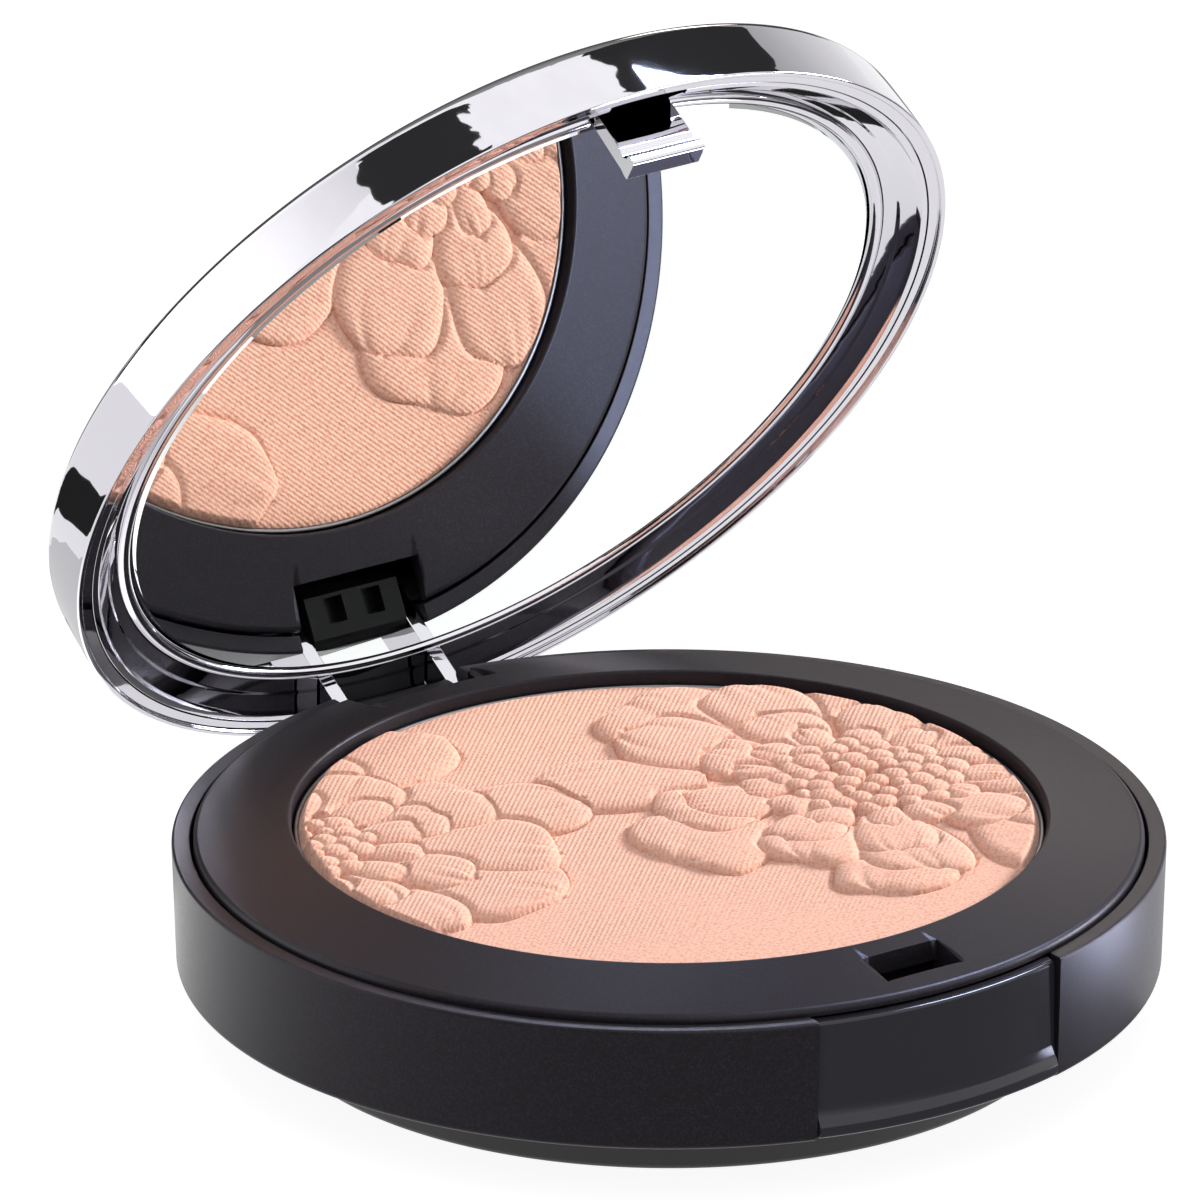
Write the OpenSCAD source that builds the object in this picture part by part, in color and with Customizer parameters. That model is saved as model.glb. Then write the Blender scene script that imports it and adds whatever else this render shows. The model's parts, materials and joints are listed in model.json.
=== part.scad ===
// Round push-button powder compact: drafted base with a foot dish, tray with a sloping bezel,
// pan of pressed powder, and a plated lid with a framed mirror on a rear pin hinge.
// Millimetres. +Z is up, the front is -Y, the origin is the middle of the foot's underside.

/* [Base] */
// Outer diameter of the base wall at its top edge
base_d = 78; // [76:0.1:94]
// How much the wall's radius shrinks from its top edge to its lower edge
wall_draft = 0.35; // [0:0.05:0.8]
// Height of the wall's lower edge above the table
wall_z0 = 4.7; // [3.5:0.1:7]
// Height of the wall from its lower edge to the ledge
wall_h = 10.2; // [10:0.1:14]
// Thickness of the wall at the ledge
wall_t = 1.45; // [1.2:0.05:1.8]
// Thickness of the base floor
floor_t = 1.3; // [1:0.1:1.6]
// Rounding of the wall's lower edge
wall_edge_r = 0.6; // [0.2:0.05:1]
// Rounding of the wall's top edge
ledge_edge_r = 0.25; // [0.1:0.05:0.3]

/* [Foot] */
// Diameter of the foot where it stands on the table
foot_d = 62.9; // [50:0.1:66]
// How much the foot's radius grows towards the floor
foot_flare = 1.3; // [0:0.1:2]
// Thickness of the foot dish
foot_t = 1.2; // [0.8:0.1:1.6]
// Rounding of the foot's lower edge
foot_edge_r = 0.8; // [0.3:0.1:1.4]
// Radius of the circle that the fixing posts stand on
post_circle_r = 22; // [14:0.5:26]
// Radius of a fixing post
post_r = 1.2; // [0.8:0.1:1.6]
// Radial clearance of a post in its hole
post_gap = 0.05; // [0.02:0.01:0.1]

/* [Tray] */
// Radial gap between the base wall and the tray
tray_gap = 0.25; // [0.15:0.05:0.4]
// Thickness of the tray's walls
tray_t = 1.15; // [0.9:0.05:1.4]
// Height of the bezel's inner edge above the ledge
bezel_rise = 1.95; // [1.5:0.05:2.2]
// Height of the bezel's outer shoulder above the ledge
shoulder_rise = 0.62; // [0.5:0.02:0.7]
// Rounding of the bezel's outer shoulder
shoulder_r = 0.5; // [0.3:0.05:0.6]
// Rounding of the bezel's inner edge
bezel_edge_r = 0.22; // [0.1:0.02:0.4]
// Depth of the pan's well below the bezel's inner edge
well_depth = 5.35; // [5:0.05:6]

/* [Powder] */
// Outer diameter of the metal pan
pan_d = 58.8; // [49:0.1:60]
// Height of the pan
pan_h = 4.05; // [3.5:0.05:4.4]
// Thickness of the pan's sheet metal
pan_t = 0.35; // [0.2:0.05:0.5]
// Radial gap between the pan and its well
pan_gap = 0.15; // [0.1:0.05:0.4]
// Thickness of the glue disc under the pan
glue_t = 0.2; // [0.1:0.05:0.3]
// Radius of the glue disc
glue_r = 24; // [10:0.5:25]
// Height of the powder's crown above the pan's rim
powder_crown = 0.3; // [0.1:0.05:0.6]

/* [Button] */
// Width of the push button across the front
button_w = 22.4; // [18:0.1:26]
// Gap around the push button
button_gap = 0.15; // [0.1:0.05:0.3]
// How far the button's face sits behind the wall
button_recess = 0.65; // [0.4:0.05:0.8]
// Thickness of the button's panel
panel_t = 1; // [0.8:0.05:1.1]
// How far the button is pushed in
button_travel = 1; // [0.6:0.05:1.1]
// Height of the flared lip along the button's lower edge
button_lip_h = 2.6; // [1.5:0.1:4]
// Sideways distance from an arm of the button to its spring
spring_inset = 3.5; // [3.2:0.1:3.9]
// Outer diameter of a spring
spring_d = 2.4; // [2:0.1:2.8]
// Diameter of the spring wire
wire_d = 0.3; // [0.25:0.05:0.4]
// Number of turns of a spring
spring_turns = 6; // [4:0.5:8]

/* [Hinge] */
// Radius of the hinge pin
pin_r = 0.75; // [0.6:0.05:0.9]
// Radial clearance of the pin in the lid's ears
pin_run = 0.05; // [0.02:0.01:0.1]
// Radial clearance of the pin in the base
pin_fix = 0.02; // [0.01:0.01:0.05]
// Distance from the pin's axis to the outside of the wall
hinge_inset = 2.85; // [2.75:0.05:3.2]
// Depth of the pin's axis below the ledge
hinge_drop = 4.4; // [4:0.1:5]
// Width of the middle hinge block
block_w = 8.8; // [7:0.1:10]
// Thickness of one hinge ear of the lid
ear_t = 1.25; // [1:0.05:1.6]
// Sideways gap between an ear and its neighbours
ear_gap = 0.15; // [0.1:0.05:0.3]
// Radius of an ear around the pin
ear_r = 2.2; // [1.8:0.05:2.25]
// Width of a hinge lug of the base
lug_w = 2.6; // [2:0.1:3]

/* [Lid] */
// Angle that the lid stands open at rest
open_angle = 59; // [0:1:100]
// Gap between the ledge and the closed lid
lid_gap = 0.4; // [0.35:0.05:0.6]
// Height of the lid's band up to where its top edge starts to round
band_h = 4.9; // [4.6:0.1:7]
// How much the band's radius shrinks upwards
band_draft = 0.35; // [0:0.05:0.8]
// Rounding of the lid's top edge
lid_edge_r = 1.2; // [0.8:0.1:1.5]
// Height of the lid's dome above its rounded edge
dome_h = 0.7; // [0:0.1:1.5]
// Thickness of the lid's band
lid_wall = 1.4; // [1.2:0.05:1.6]
// Height of the notch in the lid's rim at the hinge
notch_h = 1.8; // [1.2:0.1:2]

/* [Mirror] */
// Diameter of the mirror
mirror_d = 66.1; // [60:0.1:67]
// Thickness of the mirror glass
mirror_t = 1.8; // [1.2:0.1:1.9]
// Width of the bevel ground on the mirror's edge
mirror_bevel = 0.35; // [0.1:0.05:0.6]
// Depth of the mirror behind the lid's rim
mirror_depth = 1.9; // [1.85:0.05:2.2]
// Radial gap between the mirror and its frame
mirror_gap = 0.1; // [0.05:0.05:0.2]
// Thickness of the silver layer and its paint
silver_t = 0.05; // [0.05:0.01:0.1]
// Radius of the foam tape disc
tape_r = 30; // [20:0.5:31]

/* [Catch] */
// Width of the lid's catch
catch_w = 6.7; // [5:0.1:8]
// Thickness of the catch
catch_t = 1.3; // [1:0.05:1.5]
// How far the catch reaches below the lid's rim
catch_len = 4; // [3.5:0.05:4.2]
// Distance from the catch's outer face to the outside of the wall
catch_inset = 4.1; // [4.05:0.05:4.3]
// How far the catch's barb stands out
barb = 0.6; // [0.3:0.05:0.65]
// Height of the barb
barb_h = 0.95; // [0.7:0.05:1]
// Sideways gap of the catch in its slot
slot_side = 0.15; // [0.1:0.05:0.3]
// Front to back length of the slot
slot_len = 3.5; // [3:0.1:3.9]

/* [Hidden] */
base_r = base_d / 2;
wall_r0 = base_r - wall_draft;
ledge_z = wall_z0 + wall_h;
floor_z = wall_z0 + floor_t;
base_ri = base_r - wall_t;
foot_r = foot_d / 2;
foot_fillet = 0.4;
post_proud = 0.6;
skirt_r = base_ri - tray_gap;
skirt_ri = skirt_r - tray_t;
pan_r = pan_d / 2;
well_r = pan_r + pan_gap;
well_ro = well_r + tray_t;
bezel_z = ledge_z + bezel_rise;
bezel_inset = 0.15;
bezel_r = well_r + bezel_inset;
well_z = bezel_z - well_depth;
well_t = 1;
well_z0 = well_z - well_t;
pan_z = well_z + glue_t;
cake_gap = 0.02;
cake_drop = 0.05;
cake_edge = 0.4;
flange_drop = 0.15;
flange_z = ledge_z - flange_drop;
flange_step = 0.7;
bezel_chamfer = 1.1;
skirt_gap = 0.55;

button_x = button_w / 2;
window_x = button_x + button_gap;
bay_x = window_x + skirt_gap;
bay_back = 2;
panel_ro = base_r - button_recess;
panel_ri = panel_ro - panel_t;
panel_gap = 0.15;
button_z0 = wall_z0 + 2 * panel_gap;
button_z1 = flange_z - panel_gap;
flare_inset = 0.05;
flare_round = 0.45;
flare_step = 0.18;
flare_rise = 0.9;
panel_round = 0.3;
nose_embed = 0.2;
arm_w = 1.6;
arm_h = 2;
arm_inset = 1;
arm_lift = 0.25;
arm_embed = 0.4;
arm_x = button_x - arm_inset - arm_w / 2;
arm_z0 = floor_z + arm_lift;
arm_z1 = arm_z0 + arm_h;
rib_t = 0.9;
rib_gap = 0.2;
rib_l = 3;
rib_setback = 3.2;
rib_over = 0.4;
rib_y0 = -panel_ri + rib_setback;
rib_y1 = rib_y0 + rib_l;
hook = 0.8;
hook_l = 0.9;
hook_gap = 0.1;
spring_x = arm_x - spring_inset;
spring_lift = 3.1;
spring_z = floor_z + spring_lift;
seat_setback = 5.9;
seat_y = -panel_ri + seat_setback;
seat_t = 0.9;
seat_half = 1.6;
peg_gap = 0.15;
peg_l = 1;
peg_r = spring_d / 2 - wire_d - peg_gap;
pad_lip = 0.15;
pad_t = 0.5;
pad_r = spring_d / 2 + pad_lip;
pad_x = spring_x + pad_r;
pad_proud = 0.05;
spring_y0 = -sqrt(panel_ri * panel_ri - pad_x * pad_x) + pad_proud;

hinge_y = base_r - hinge_inset;
hinge_z = ledge_z - hinge_drop;
ear_x0 = block_w / 2 + ear_gap;
ear_x1 = ear_x0 + ear_t;
cut_x = ear_x1 + ear_gap;
lug_x1 = cut_x + lug_w;
pin_inset = 0.1;
pin_x = lug_x1 - pin_inset;
notch_gap = 0.75;
notch_y = hinge_y - ear_r - notch_gap;
sill_rise = 0.4;
sill_z = floor_z + sill_rise;
lug_y0 = hinge_y - ear_r;
block_drop = 0.5;
block_z1 = ledge_z - block_drop;
block_gap = 0.4;
block_y0 = notch_y + block_gap;
block_back = 0.15;
block_toe = 0.3;
block_foot_y = min(base_ri - block_toe, sqrt(base_ri * base_ri - block_w * block_w / 4));
block_round = 1.4;
block_bevel = 0.8;
pocket_x = 1.8;
pocket_w = 1.75;
pocket_l = 2.1;
pocket_d = 1.3;
pocket_inset = 1.1;

rim_z = ledge_z + lid_gap;
lid_inset = 0.1;
lid_r = base_r - lid_inset;
lid_ri = lid_r - lid_wall;
lip_w = 0.5;
lip_step = 0.3;
lip_r = 0.15;
edge_z = rim_z + band_h;
edge_r0 = lid_r - band_draft;
mirror_z = rim_z + mirror_depth;
mirror_r = mirror_d / 2;
silver_z = mirror_z + mirror_t;
silver_inset = 0.1;
tape_z = silver_z + silver_t;
web_t = 1.35;
web_z = edge_z + lid_edge_r - web_t;
tape_t = web_z - tape_z;
frame_gap = 0.1;
frame_ro = lid_ri - frame_gap;
frame_ri = mirror_r + mirror_gap;
bead_r = 0.38;
bead_proud = 0.25;
cove_drop = 0.25;
cove_w = 1.6;
cove_h = 0.8;
cove_foot = 0.4;
relief_w = 1.1;
relief_h = 1.9;
frame_clear = 0.2;

catch_y = -(base_r - catch_inset);
catch_z0 = rim_z - catch_len;
barb_z1 = catch_z0 + barb_h;
slot_x = catch_w / 2 + slot_side;
catch_grip = 0.3;
groove_r = 0.45;
barb_r = 0.3;
nub = 0.15;
nub_h = 0.9;
slot_y0 = catch_y - barb + catch_grip;
keeper_t = 0.75;
keeper_gap = 0.15;
keeper_z0 = barb_z1 + keeper_gap;
socket_t = 0.8;
nose_x = 2.6;
nose_gap = 0.1;
nose_y = catch_y - barb - nose_gap - button_travel;
nose_drop = 0.1;
nose_h = 0.9;
nose_z0 = catch_z0 - nose_drop;
nose_z1 = nose_z0 + nose_h;

embed = 0.5;
web_embed = 0.3;
big = 60;
fine = 180;
round_n = 48;
wire_sides = 8;
turn_steps = 16;

// Points along an arc of radius r about c, from angle a0 to a1
function arc(c, r, a0, a1, n = 6) =
    [for (i = [0:n]) c + r * [cos(a0 + (a1 - a0) * i / n), sin(a0 + (a1 - a0) * i / n)]];

// A solid of revolution about the vertical axis
module turned(points) {
    rotate_extrude($fn = fine) polygon(points);
}

// A plate of width w, centred on x, whose outline is given as [y, z] points
module plate(x, w, points) {
    translate([x, 0, 0]) rotate([90, 0, 90])
        linear_extrude(height = w, center = true) polygon(points);
}

// A box between two opposite corners
module block(a, b) {
    translate(a) cube(b - a);
}

// A round rod along X
module rod_x(r, x0, x1) {
    translate([x0, hinge_y, hinge_z]) rotate([0, 90, 0])
        cylinder(r = r, h = x1 - x0, $fn = round_n);
}

// Both mirror images of a child about the YZ plane
module both_sides() {
    children();
    mirror([1, 0, 0]) children();
}

// Turns a closed lid part to the angle at which the lid stands open
module lid_pose() {
    translate([0, hinge_y, hinge_z]) rotate([-open_angle, 0, 0])
        translate([0, -hinge_y, -hinge_z]) children();
}

// The space that the button's panel sweeps at the front, out to the side faces
module button_sweep(x, gap) {
    difference() {
        block([-x, -big, 0], [x, -panel_ri / 2, ledge_z + 1]);
        translate([0, button_travel + gap, -1])
            cylinder(r = panel_ri, h = ledge_z + 3, $fn = fine);
    }
}

module base_shell() {
    color("#1c1b22") difference() {
        union() {
            base_cup();
            both_sides() {
                hinge_lug();
                button_guide();
                spring_seat();
            }
        }
        rod_x(pin_r + pin_fix, -lug_x1, lug_x1);
    }
}

// Wall and floor, with the button window, the hinge cutout and the post holes
module base_cup() {
    difference() {
        turned(concat(
            [[0, wall_z0]],
            arc([wall_r0 - wall_edge_r, wall_z0 + wall_edge_r], wall_edge_r, -90, 0),
            arc([base_r - ledge_edge_r, ledge_z - ledge_edge_r], ledge_edge_r, 0, 90, 3),
            [[base_ri, ledge_z], [base_ri, floor_z], [0, floor_z]]));
        button_sweep(window_x, button_gap);
        block([-cut_x, notch_y, sill_z], [cut_x, big, big]);
        for (a = [45:90:315]) rotate([0, 0, a]) translate([post_circle_r, 0, 0])
            cylinder(r = post_r + post_gap, h = floor_z + 1, $fn = round_n);
    }
}

// Lug beside the rear cutout, which holds an end of the pin
module hinge_lug() {
    intersection() {
        union() {
            rod_x(ear_r, cut_x, lug_x1);
            block([cut_x, lug_y0, floor_z - embed], [lug_x1, big, hinge_z]);
        }
        cylinder(r = base_ri + embed, h = big, $fn = fine);
    }
}

// The two ribs that an arm of the button slides between
module button_guide() {
    for (side = [-1, 1]) {
        x = arm_x + side * (arm_w / 2 + rib_gap + rib_t / 2);
        block([x - rib_t / 2, rib_y0, floor_z - embed], [x + rib_t / 2, rib_y1, arm_z1 + rib_over]);
    }
}

// The upright that a spring bears on, with its peg
module spring_seat() {
    block([spring_x - seat_half, seat_y, floor_z - embed],
          [spring_x + seat_half, seat_y + seat_t, spring_z + seat_half]);
    translate([spring_x, seat_y + seat_t / 2, spring_z]) rotate([90, 0, 0])
        cylinder(r = peg_r, h = peg_l + seat_t / 2, $fn = round_n);
}

module bottom_plate() {
    top_r = foot_r + foot_flare;
    inner_r = foot_r - foot_t;
    color("#2a2527") union() {
        turned(concat(
            [[0, 0]],
            arc([foot_r - foot_edge_r, foot_edge_r], foot_edge_r, -90, -10),
            [[top_r, wall_z0], [top_r - foot_t, wall_z0], [inner_r - foot_fillet, foot_t],
             [0, foot_t]]));
        for (a = [45:90:315]) rotate([0, 0, a]) translate([post_circle_r, 0, foot_t / 2])
            cylinder(r = post_r, h = floor_z + post_proud - foot_t / 2, $fn = round_n);
    }
}

module tray_ring() {
    shoulder_z = ledge_z + shoulder_rise;
    shoulder_x = skirt_r - shoulder_r;
    color("#24242c") difference() {
        union() {
            difference() {
                turned(concat(
                    [[0, well_z0], [well_ro, well_z0], [well_ro, flange_z + flange_step],
                     [skirt_ri, flange_z], [skirt_ri, floor_z], [skirt_r, floor_z]],
                    arc([shoulder_x, shoulder_z - shoulder_r], shoulder_r, 0, 80),
                    arc([bezel_r + bezel_edge_r, bezel_z - bezel_edge_r], bezel_edge_r, 80, 180, 4),
                    [[well_r, bezel_z - bezel_chamfer], [well_r, well_z], [0, well_z]]));
                block([-bay_x, -big, 0], [bay_x, -well_ro - bay_back, flange_z]);
                block([-lug_x1 - embed, notch_y, 0], [lug_x1 + embed, big, flange_z]);
            }
            block([-slot_x - socket_t, slot_y0 - keeper_t, keeper_z0],
                  [slot_x + socket_t, embed - well_ro, flange_z + web_embed]);
        }
        block([-slot_x, slot_y0, keeper_z0 - 1], [slot_x, slot_y0 + slot_len, big]);
        block([-cut_x, notch_y, 0], [cut_x, big, big]);
    }
}

module hinge_block() {
    pocket_y = block_y0 + pocket_inset;
    color("#0c0b0d") difference() {
        intersection() {
            plate(0, block_w, concat(
                [[block_y0, floor_z], [block_foot_y, floor_z],
                 [block_foot_y, sill_z + block_back], [base_r, sill_z + block_back]],
                arc([base_r - block_round - lid_inset, block_z1 - block_round], block_round, 0, 90),
                [[block_y0 + block_bevel, block_z1], [block_y0, block_z1 - block_bevel]]));
            cylinder(r = base_r - block_back, h = big, $fn = fine);
        }
        rod_x(pin_r + pin_fix, -block_w, block_w);
        both_sides() block([pocket_x - pocket_w / 2, pocket_y, block_z1 - pocket_d],
                           [pocket_x + pocket_w / 2, pocket_y + pocket_l, big]);
    }
}

module hinge_pin() {
    color("#b9bcc2") rod_x(pin_r, -pin_x, pin_x);
}

module pan_adhesive() {
    color("#e6dfc8") translate([0, 0, well_z]) cylinder(r = glue_r, h = glue_t, $fn = fine);
}

module powder_pan() {
    color("#c9cbd0") turned([
        [0, pan_z], [pan_r, pan_z], [pan_r, pan_z + pan_h], [pan_r - pan_t, pan_z + pan_h],
        [pan_r - pan_t, pan_z + pan_t], [0, pan_z + pan_t]]);
}

module pressed_powder() {
    rim_z1 = pan_z + pan_h;
    cake_r = pan_r - pan_t - cake_gap;
    color("#efbfa2") turned([
        [0, pan_z + pan_t], [cake_r, pan_z + pan_t], [cake_r, rim_z1 - cake_drop],
        [cake_r - cake_edge, rim_z1 + powder_crown / 2], [cake_r / 2, rim_z1 + powder_crown],
        [0, rim_z1 + powder_crown]]);
}

// A coil spring along +Y from the origin, swept from rings of points about its helix
module coil(length) {
    steps = round(spring_turns * turn_steps);
    helix_r = (spring_d - wire_d) / 2;
    points = [for (i = [0:steps]) for (j = [0:wire_sides - 1])
        let (a = 360 * i / turn_steps, b = 360 * j / wire_sides,
             r = helix_r + wire_d / 2 * cos(b),
             y = wire_d / 2 + (length - wire_d) * i / steps + wire_d / 2 * sin(b))
        [r * cos(a), y, r * sin(a)]];
    sides = [for (i = [0:steps - 1]) for (j = [0:wire_sides - 1])
        let (k = (j + 1) % wire_sides, p = i * wire_sides, q = p + wire_sides)
        [p + j, p + k, q + k, q + j]];
    first = [for (j = [wire_sides - 1:-1:0]) j];
    last = [for (j = [0:wire_sides - 1]) steps * wire_sides + j];
    polyhedron(points, concat(sides, [first], [last]));
}

module placed_coil(x) {
    color("#c4c7cc") translate([x, spring_y0, spring_z]) coil(seat_y - spring_y0);
}

module spring_left() {
    placed_coil(-spring_x);
}

module spring_right() {
    placed_coil(spring_x);
}

module push_button() {
    flare_z = button_z0 + button_lip_h;
    flare_r = base_r - flare_inset;
    color("#15151b") union() {
        intersection() {
            turned(concat(
                [[panel_ri, button_z0]],
                arc([flare_r - flare_round, button_z0 + flare_round], flare_round, -90, 10, 4),
                [[panel_ro + flare_step, flare_z - flare_rise], [panel_ro, flare_z]],
                arc([panel_ro - panel_round, button_z1 - panel_round], panel_round, 0, 90, 4),
                [[panel_ri, button_z1]]));
            block([-button_x, -big, 0], [button_x, -panel_ri / 2, big]);
        }
        block([-nose_x, -panel_ri - nose_embed, nose_z0], [nose_x, nose_y, nose_z1]);
        both_sides() {
            button_arm();
            spring_pad();
        }
    }
}

// The round pad and peg behind the panel that a spring presses on
module spring_pad() {
    translate([spring_x, spring_y0, spring_z]) rotate([90, 0, 0])
        cylinder(r = pad_r, h = pad_t, $fn = round_n);
    translate([spring_x, spring_y0 + peg_l, spring_z]) rotate([90, 0, 0])
        cylinder(r = peg_r, h = peg_l + pad_t / 2, $fn = round_n);
}

// A side arm of the button, with the hook that stops against the guide rib
module button_arm() {
    root_y = -sqrt(panel_ri * panel_ri - arm_x * arm_x) - arm_embed;
    tip_y = rib_y1 + hook_gap + hook_l;
    block([arm_x - arm_w / 2, root_y, arm_z0], [arm_x + arm_w / 2, tip_y, arm_z1]);
    block([arm_x - arm_w / 2, rib_y1 + hook_gap, arm_z0],
          [arm_x + arm_w / 2 + hook, tip_y, arm_z1]);
}

// The lid's shell: band, dome, hinge ears and catch in one plated moulding
module lid_shell() {
    top_r = edge_r0 - lid_edge_r;
    top_z = edge_z + lid_edge_r;
    dome_r = (top_r * top_r + dome_h * dome_h) / (2 * dome_h);
    half = asin(top_r / dome_r);
    color("#d8d8dc") lid_pose() difference() {
        union() {
            difference() {
                turned(concat(
                    [[lid_ri, rim_z + lip_step], [lid_r - lip_w, rim_z + lip_step],
                     [lid_r - lip_w, rim_z]],
                    arc([lid_r - lip_r, rim_z + lip_r], lip_r, -90, 0, 3),
                    arc([edge_r0 - lid_edge_r, edge_z], lid_edge_r, 0, 90, 8),
                    arc([0, top_z + dome_h - dome_r], dome_r, 90 - half, 90, 12),
                    [[0, web_z], [lid_ri, web_z]]));
                block([-cut_x, 0, rim_z - 1], [cut_x, big, rim_z + notch_h]);
            }
            both_sides() lid_ear();
            lid_catch();
        }
        rod_x(pin_r + pin_run, -ear_x1 - 1, ear_x1 + 1);
    }
}

// One hinge ear, from the underside of the lid's top down around the pin
module lid_ear() {
    ear_mid = (ear_x0 + ear_x1) / 2;
    plate(ear_mid, ear_t, concat(
        arc([hinge_y, hinge_z], ear_r, -180, 0, 16),
        [[hinge_y + ear_r, web_z + web_embed], [hinge_y - ear_r, web_z + web_embed]]));
}

// The springy tongue with its barb, which hooks under the front edge of the slot
module lid_catch() {
    inner_y = catch_y + catch_t;
    plate(0, catch_w, concat(
        [[catch_y, web_z + web_embed], [catch_y, barb_z1 + 2 * groove_r]],
        arc([catch_y - groove_r / 2, barb_z1 + groove_r], groove_r, 60, -60, 4),
        [[catch_y - barb + barb_r / 2, barb_z1]],
        arc([catch_y - barb + barb_r, catch_z0 + barb_r], barb_r, 150, 270, 4),
        [[inner_y + nub, catch_z0], [inner_y + nub, catch_z0 + nub_h / 2],
         [inner_y, catch_z0 + nub_h], [inner_y, web_z + web_embed]]));
}

module mirror_frame() {
    bead_x = frame_ri + bead_r;
    bead_z = mirror_z - bead_proud + bead_r;
    cove_z = rim_z + lip_step + cove_drop;
    color("#d0d0d5") lid_pose() difference() {
        turned(concat(
            [[frame_ri, web_z]],
            arc([bead_x, bead_z], bead_r, 180, 360, 8),
            [[frame_ro - cove_w, cove_z + cove_h], [frame_ro - cove_foot, cove_z + lip_r],
             [frame_ro, cove_z], [frame_ro, web_z]]));
        turned([[frame_ri + relief_w, web_z - relief_h], [frame_ro - relief_w, web_z - relief_h],
                [frame_ro - relief_w, big], [frame_ri + relief_w, big]]);
        block([-catch_w / 2 - frame_clear, -big, 0], [catch_w / 2 + frame_clear, embed - frame_ri, big]);
        both_sides() block([ear_x0 - ear_gap, hinge_y - ear_r - ear_gap, 0], [ear_x1 + ear_gap, big, big]);
    }
}

module mirror_glass() {
    color("#cfe0e4", 0.5) lid_pose() turned([
        [0, mirror_z], [mirror_r - mirror_bevel, mirror_z], [mirror_r, mirror_z + mirror_bevel],
        [mirror_r, silver_z], [0, silver_z]]);
}

module mirror_silver() {
    color("#dfe3e6") lid_pose() translate([0, 0, silver_z])
        cylinder(r = mirror_r - silver_inset, h = silver_t, $fn = fine);
}

module mirror_tape() {
    color("#f2f0e8") lid_pose() translate([0, 0, tape_z])
        cylinder(r = tape_r, h = tape_t, $fn = fine);
}

base_shell();
bottom_plate();
tray_ring();
hinge_block();
hinge_pin();
pan_adhesive();
powder_pan();
pressed_powder();
spring_left();
spring_right();
push_button();
lid_shell();
mirror_frame();
mirror_glass();
mirror_silver();
mirror_tape();
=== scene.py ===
"""Looks for a round push-button powder compact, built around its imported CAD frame.

Sizes inside the classes are millimetres; meshes are made in metres, in the CAD frame:
+Z up, -Y towards the push button, +Y towards the hinge. The lid's pieces are shaped in
the closed position and then turned about the hinge to the angle at which the lid rests.
"""

import json
import logging
import math
from dataclasses import dataclass
from enum import Enum

import bmesh
import bpy
import numpy as np
from bpy.types import Material, NodeSocket, Object
from mathutils import Matrix, Vector


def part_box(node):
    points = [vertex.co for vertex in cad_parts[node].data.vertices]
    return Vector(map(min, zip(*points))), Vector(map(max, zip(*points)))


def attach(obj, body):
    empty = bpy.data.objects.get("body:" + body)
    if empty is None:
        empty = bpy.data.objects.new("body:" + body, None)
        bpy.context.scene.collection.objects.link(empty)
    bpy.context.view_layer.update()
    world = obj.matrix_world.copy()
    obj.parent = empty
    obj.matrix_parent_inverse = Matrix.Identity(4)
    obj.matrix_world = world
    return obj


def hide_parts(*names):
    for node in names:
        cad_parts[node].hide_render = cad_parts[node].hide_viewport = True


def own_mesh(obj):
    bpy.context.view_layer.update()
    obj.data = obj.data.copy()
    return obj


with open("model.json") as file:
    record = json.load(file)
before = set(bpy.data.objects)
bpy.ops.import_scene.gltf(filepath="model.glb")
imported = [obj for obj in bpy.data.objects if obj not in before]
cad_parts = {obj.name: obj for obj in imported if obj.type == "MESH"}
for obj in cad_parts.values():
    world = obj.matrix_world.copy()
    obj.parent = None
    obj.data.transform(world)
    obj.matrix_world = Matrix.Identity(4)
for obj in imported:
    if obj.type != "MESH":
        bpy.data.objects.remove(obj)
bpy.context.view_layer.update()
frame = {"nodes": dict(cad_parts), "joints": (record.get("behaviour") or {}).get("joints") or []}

LOG = logging.getLogger("compact")
MM = 0.001
SHARP_ANGLE = math.radians(32)


# ---------------------------------------------------------------- outlines


@dataclass(frozen=True)
class Corner:
    """One corner of an outline, in mm, with the radius that rounds it."""

    a: float
    b: float
    radius: float = 0.0
    tag: str = ""


def path(*spots: tuple) -> list[Corner]:
    """Corners from tuples of a, b and, where wanted, the radius and the tag."""
    return [Corner(*spot) for spot in spots]


def rounded(corners: list[Corner], steps: int = 8) -> tuple[np.ndarray, dict[str, int]]:
    """Rounds the corners of a closed outline.

    Args:
        corners: The outline's corners in order.
        steps: Points along the arc of a right-angled corner.

    Returns:
        The outline's points, and the index of each tagged corner's first point.
    """
    points: list[np.ndarray] = []
    tags: dict[str, int] = {}
    count = len(corners)
    for i, corner in enumerate(corners):
        here = np.array([corner.a, corner.b])
        before = np.array([corners[i - 1].a, corners[i - 1].b]) - here
        after = np.array([corners[(i + 1) % count].a, corners[(i + 1) % count].b]) - here
        if corner.tag:
            tags[corner.tag] = len(points)
        length_a, length_b = np.linalg.norm(before), np.linalg.norm(after)
        u, v = before / length_a, after / length_b
        inside = math.acos(float(np.clip(u @ v, -1, 1)))
        if corner.radius <= 0 or inside > math.pi - 0.01:
            points.append(here)
            continue
        room = [
            length * (0.48 if corners[(i + step) % count].radius > 0 else 0.98)
            for step, length in ((-1, length_a), (1, length_b))
        ]
        reach = min(corner.radius / math.tan(inside / 2), *room)
        radius = reach * math.tan(inside / 2)
        middle = (u + v) / np.linalg.norm(u + v)
        centre = here + middle * radius / math.sin(inside / 2)
        start = here + u * reach - centre
        turn = math.pi - inside
        sign = 1.0 if u[0] * v[1] - u[1] * v[0] < 0 else -1.0
        n = max(2, round(steps * turn / (math.pi / 2)))
        for k in range(n + 1):
            angle = sign * turn * k / n
            c, s = math.cos(angle), math.sin(angle)
            points.append(centre + np.array([c * start[0] - s * start[1], s * start[0] + c * start[1]]))
    return np.array(points), tags


# ---------------------------------------------------------------- meshes


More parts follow.
